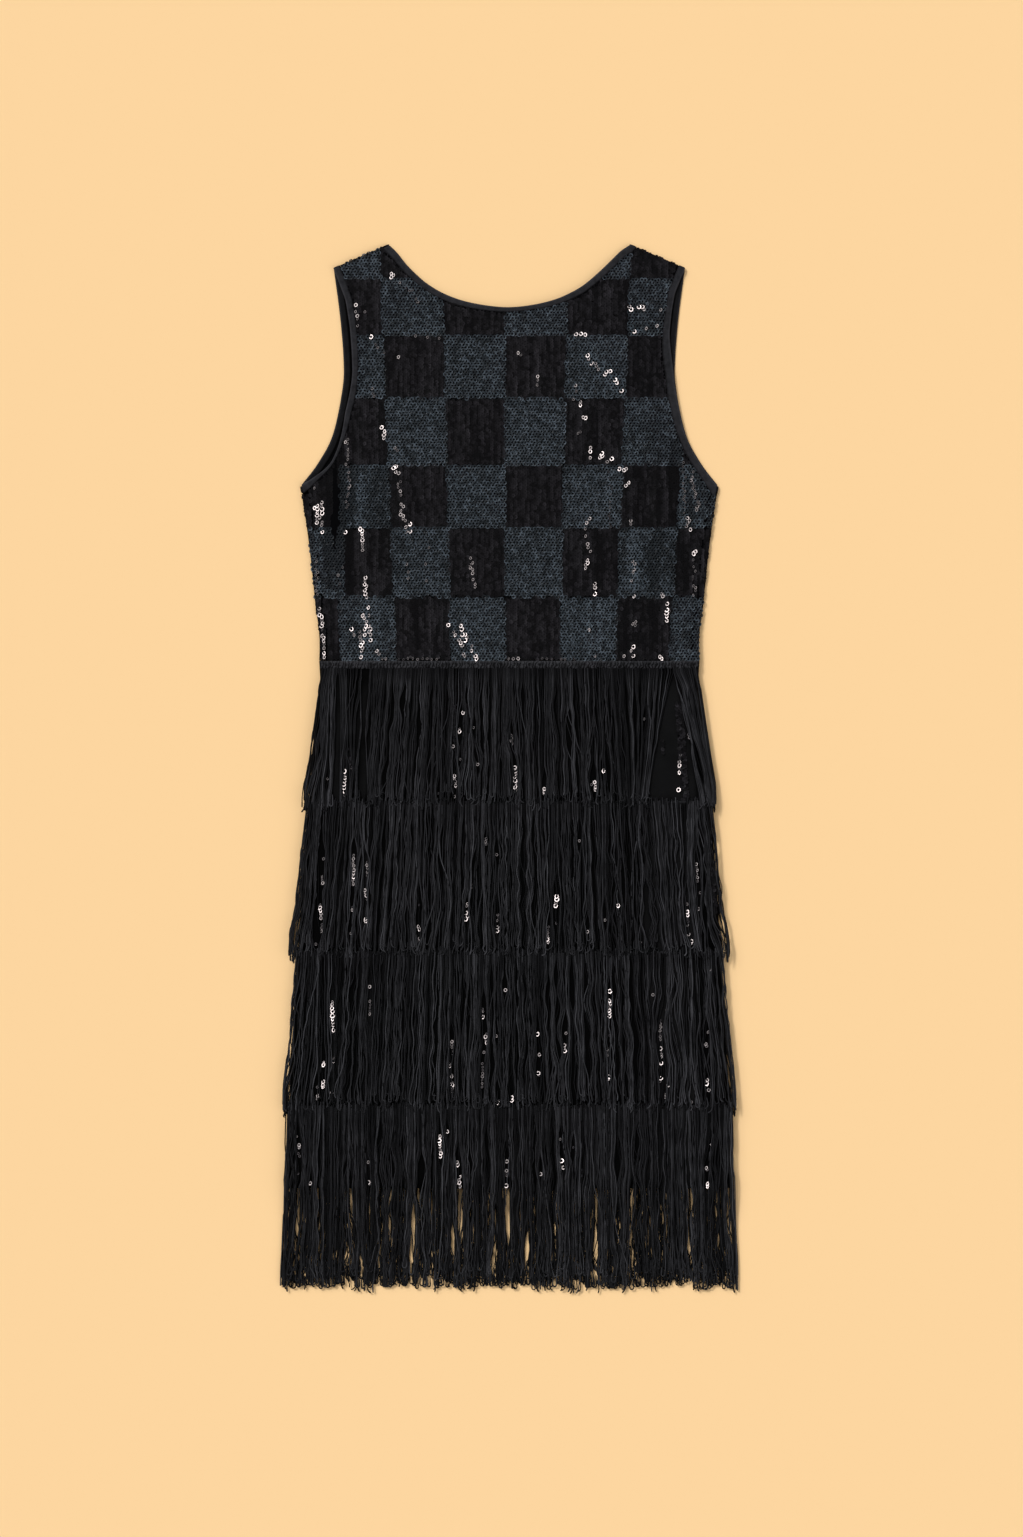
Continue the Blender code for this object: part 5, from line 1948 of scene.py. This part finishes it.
    def tails(self, x: Array, y: Array, looped: float, rng: Rng) -> tuple[Array, Array]:
        """Adds each strand's last points: half a circle and a way back up, or a steadily turning run.

        Args:
            x: the strands' x so far.
            y: their y.
            looped: the share that end in a loop.
            rng: the source of chance.

        Returns:
            The longer x and y.
        """
        count = len(x)
        side = np.where(rng.random((count, 1)) < 0.5, -1.0, 1.0)
        radius = rng.uniform(*self.loop_radius, (count, 1))
        angle = np.linspace(0, np.pi, self.tail_points)[None, 1:]
        loop_x = np.hstack([radius * (1.0 - np.cos(angle)), self.loop_open * radius]) * side
        back = rng.uniform(*self.loop_back, (count, 1))
        loop_y = np.hstack([-radius * np.sin(angle), back])
        heading = rng.normal(0, self.trail_turn, (count, 1)) * np.linspace(0.2, 1.0, self.tail_points)
        step = rng.uniform(*self.trail_steps, (count, 1)) * self.tail / self.tail_points
        trail_x = np.cumsum(np.sin(heading) * step, axis=1)
        trail_y = -np.cumsum(np.cos(heading) * step, axis=1)
        loops = rng.random((count, 1)) < looped
        tail_x = np.where(loops, loop_x, trail_x) + x[:, -1:]
        tail_y = np.where(loops, loop_y, trail_y) + y[:, -1:]
        return np.hstack([x, tail_x]), np.hstack([y, tail_y])

    def heights(self, tier: Tier, face: Face, x: Array, y: Array, t: Array, layer: Array) -> Array:
        """The strands' height: spread through the tier's depth, over the next header, and down past the hem.

        Args:
            tier: its places.
            face: which side of the dress.
            x: where, across.
            y: where, along.
            t: the share of a strand that is behind each point.
            layer: how high in its tier a strand lies, from 0 to 1.

        Returns:
            The height of each point's middle.
        """
        form, cloth = self.form, self.form.cloth
        spread = 0.25 + 0.75 * ease(t * 5.0)
        if face is Face.BACK:
            return self.lowest + 0.75 * (1.0 - spread) + (layer - 0.5) * 0.5 * spread
        base = form.rise(y) + 2 * cloth.wall + cloth.gap + cloth.crown * form.crown_share(x, y)
        over = np.zeros_like(y)
        if tier.number > 1:
            over = self.over_header * ease((y - tier.top + 14.0) / 8.0)
        if tier.number < 4:
            over = over + self.over_next * ease((TIERS[tier.number].top + 16.0 - y) / 14.0)
        depth = self.depth * (1.0 - ease((t - 0.82) / 0.18) * 0.6)
        height = base + self.lowest + layer * depth * spread + over
        if tier.number == 4:
            beyond = ease((cloth.hem_y + 6.0 - y) / self.droop)
            height = height * (1.0 - beyond) + (self.floor_height + layer * self.floor_depth) * beyond
        return height

    def tubes(self, name: str, paths: Array, bright: Array, shade: Array, rng: Rng) -> Piece:
        """A thin tube round each path: a loop of points about each of its points, thin at the tip.

        Args:
            name: the piece's name.
            paths: strands by points by 3.
            bright: what each strand's tone starts from.
            shade: the share of its tone that each point keeps.
            rng: the source of chance.

        Returns:
            The new object.
        """
        count, length = paths.shape[:2]
        run = unit(np.gradient(paths, axis=1))
        side = unit(np.cross(run, np.broadcast_to((0.0, 0, 1), run.shape)))
        up = np.cross(side, run)
        angle = np.linspace(0, TURN, self.sides, endpoint=False) + np.pi / 2.0
        taper = np.ones(length)
        taper[-self.tail_points :] = self.tail_thick
        taper[-1] = self.tip_thick
        thick = self.radius * rng.uniform(*self.thickness, (count, 1, 1, 1)) * taper[None, :, None, None]
        around = np.cos(angle)[None, None, :, None] * side[:, :, None, :]
        around = around + self.flatness * np.sin(angle)[None, None, :, None] * up[:, :, None, :]
        rings = paths[:, :, None, :] + thick * around
        body = grid_faces(length, self.sides, closed_columns=True)
        shift = (np.arange(count) * length * self.sides)[:, None, None]
        piece = make_mesh(name, rings.reshape(-1, 3), (body[None] + shift).reshape(-1, 4)[:, ::-1])
        steps = np.linalg.norm(np.diff(paths, axis=1), axis=2)
        travelled = np.hstack([np.zeros((count, 1)), np.cumsum(steps, axis=1)])
        across = np.tile(np.arange(self.sides) / self.sides, (count, length, 1))
        along = np.repeat(travelled[:, :, None] + rng.uniform(0, 5.0, (count, 1, 1)), self.sides, axis=2)
        add_uv(piece, np.stack([across, along], axis=-1).reshape(-1, 2))
        tone = np.clip(bright + rng.gamma(*self.sheen, count), 0, 1)[:, None] * shade
        add_tone(piece, np.repeat(tone.ravel(), self.sides))
        return piece

    def build(self) -> list[Piece]:
        """Builds and dresses every tier, front and back.

        Returns:
            The pieces.
        """
        tape, strand = HEADER_TAPE.material(), CHAINETTE.material()
        pieces = []
        for face in Face:
            for tier in TIERS:
                rng = np.random.default_rng(tier.number + (self.back_seed if face is Face.BACK else 0))
                node = f"{face.value}_fringe_{tier.number}"
                pieces.append(dress(self.tape(tier, face), tape, node))
                pieces.append(dress(self.strands(tier, face, rng), strand, node))
        return pieces


# ---- Studio ----------------------------------------------------------


@dataclass
class Studio:
    """The floor, the lights and the camera straight above."""

    image_height: int = 1537
    millimetres_a_pixel: float = 0.96
    lens: float = 85.0
    sensor: float = 36.0
    floor_half: float = 6000.0
    floor_z: float = -0.2
    aim: Pair = (2.1, -1.0)
    dress_height: float = 4.0
    key_strength: float = 1.5
    key_width: float = 10.0
    glow_strength: float = 1.6
    glow_width: float = 50.0
    fill: tuple[float, float, float] = (0.60, -0.50, 0.62)
    fill_strength: float = 1.0
    fill_width: float = 60.0
    world: tuple[float, float, float] = (0.22, 0.22, 0.22)

    def floor(self) -> None:
        """A wide pale plane just under the dress."""
        corners = np.array([(-1, -1), (1, -1), (1, 1), (-1, 1)]) * self.floor_half
        corners = np.column_stack([corners, np.full(4, self.floor_z)])
        plane = make_mesh("floor", corners, np.array([[0, 1, 2, 3]]))
        plane.data.materials.append(FloorFinish().material())

    def lamp(self, name: str, towards: tuple[float, float, float], strength: float, width: float) -> None:
        """A far soft light: the direction that it stands in, its strength and its width in degrees."""
        data = bpy.data.lights.new(name, "SUN")
        data.energy = strength
        data.angle = np.radians(width)
        made = bpy.data.objects.new(name, data)
        bpy.context.scene.collection.objects.link(made)
        made.location = unit(np.array(towards)) * 3.0
        made.rotation_euler = made.location.to_track_quat("Z", "Y").to_euler()

    def build(self) -> None:
        """Builds the floor, the lights, the sky and the camera."""
        self.floor()
        self.lamp("key", KEY_LIGHT, self.key_strength, self.key_width)
        self.lamp("glow", KEY_LIGHT, self.glow_strength, self.glow_width)
        self.lamp("fill", self.fill, self.fill_strength, self.fill_width)
        world = bpy.context.scene.world or bpy.data.worlds.new("studio")
        bpy.context.scene.world = world
        world.use_nodes = True
        background = world.node_tree.nodes["Background"]
        background.inputs["Color"].default_value = (*self.world, 1.0)
        background.inputs["Strength"].default_value = 1.0
        camera = bpy.data.cameras.new("camera")
        camera.lens = self.lens
        camera.sensor_width = self.sensor
        camera.sensor_fit = "AUTO"
        seen = bpy.data.objects.new("camera", camera)
        bpy.context.scene.collection.objects.link(seen)
        tall = self.image_height * self.millimetres_a_pixel * MM
        distance = tall * self.lens / self.sensor
        seen.location = (self.aim[0] * MM, self.aim[1] * MM, distance + self.dress_height * MM)
        bpy.context.scene.camera = seen
        bpy.context.scene.view_settings.view_transform = "Standard"


def main() -> None:
    """Builds the dress in order, and reports each piece."""
    logging.basicConfig(level=logging.INFO, format="%(message)s")
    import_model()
    form = Form()
    Studio().build()
    total = 0
    for maker in (Bodice(form), Sequins(form), Bindings(form), Fringe(form)):
        for piece in maker.build():
            piece.data.calc_loop_triangles()
            triangles = len(piece.data.loop_triangles)
            total += triangles
            LOG.info("%s: %d triangles", piece.name, triangles)
    LOG.info("all pieces: %d triangles", total)


if __name__ == "__main__":
    main()
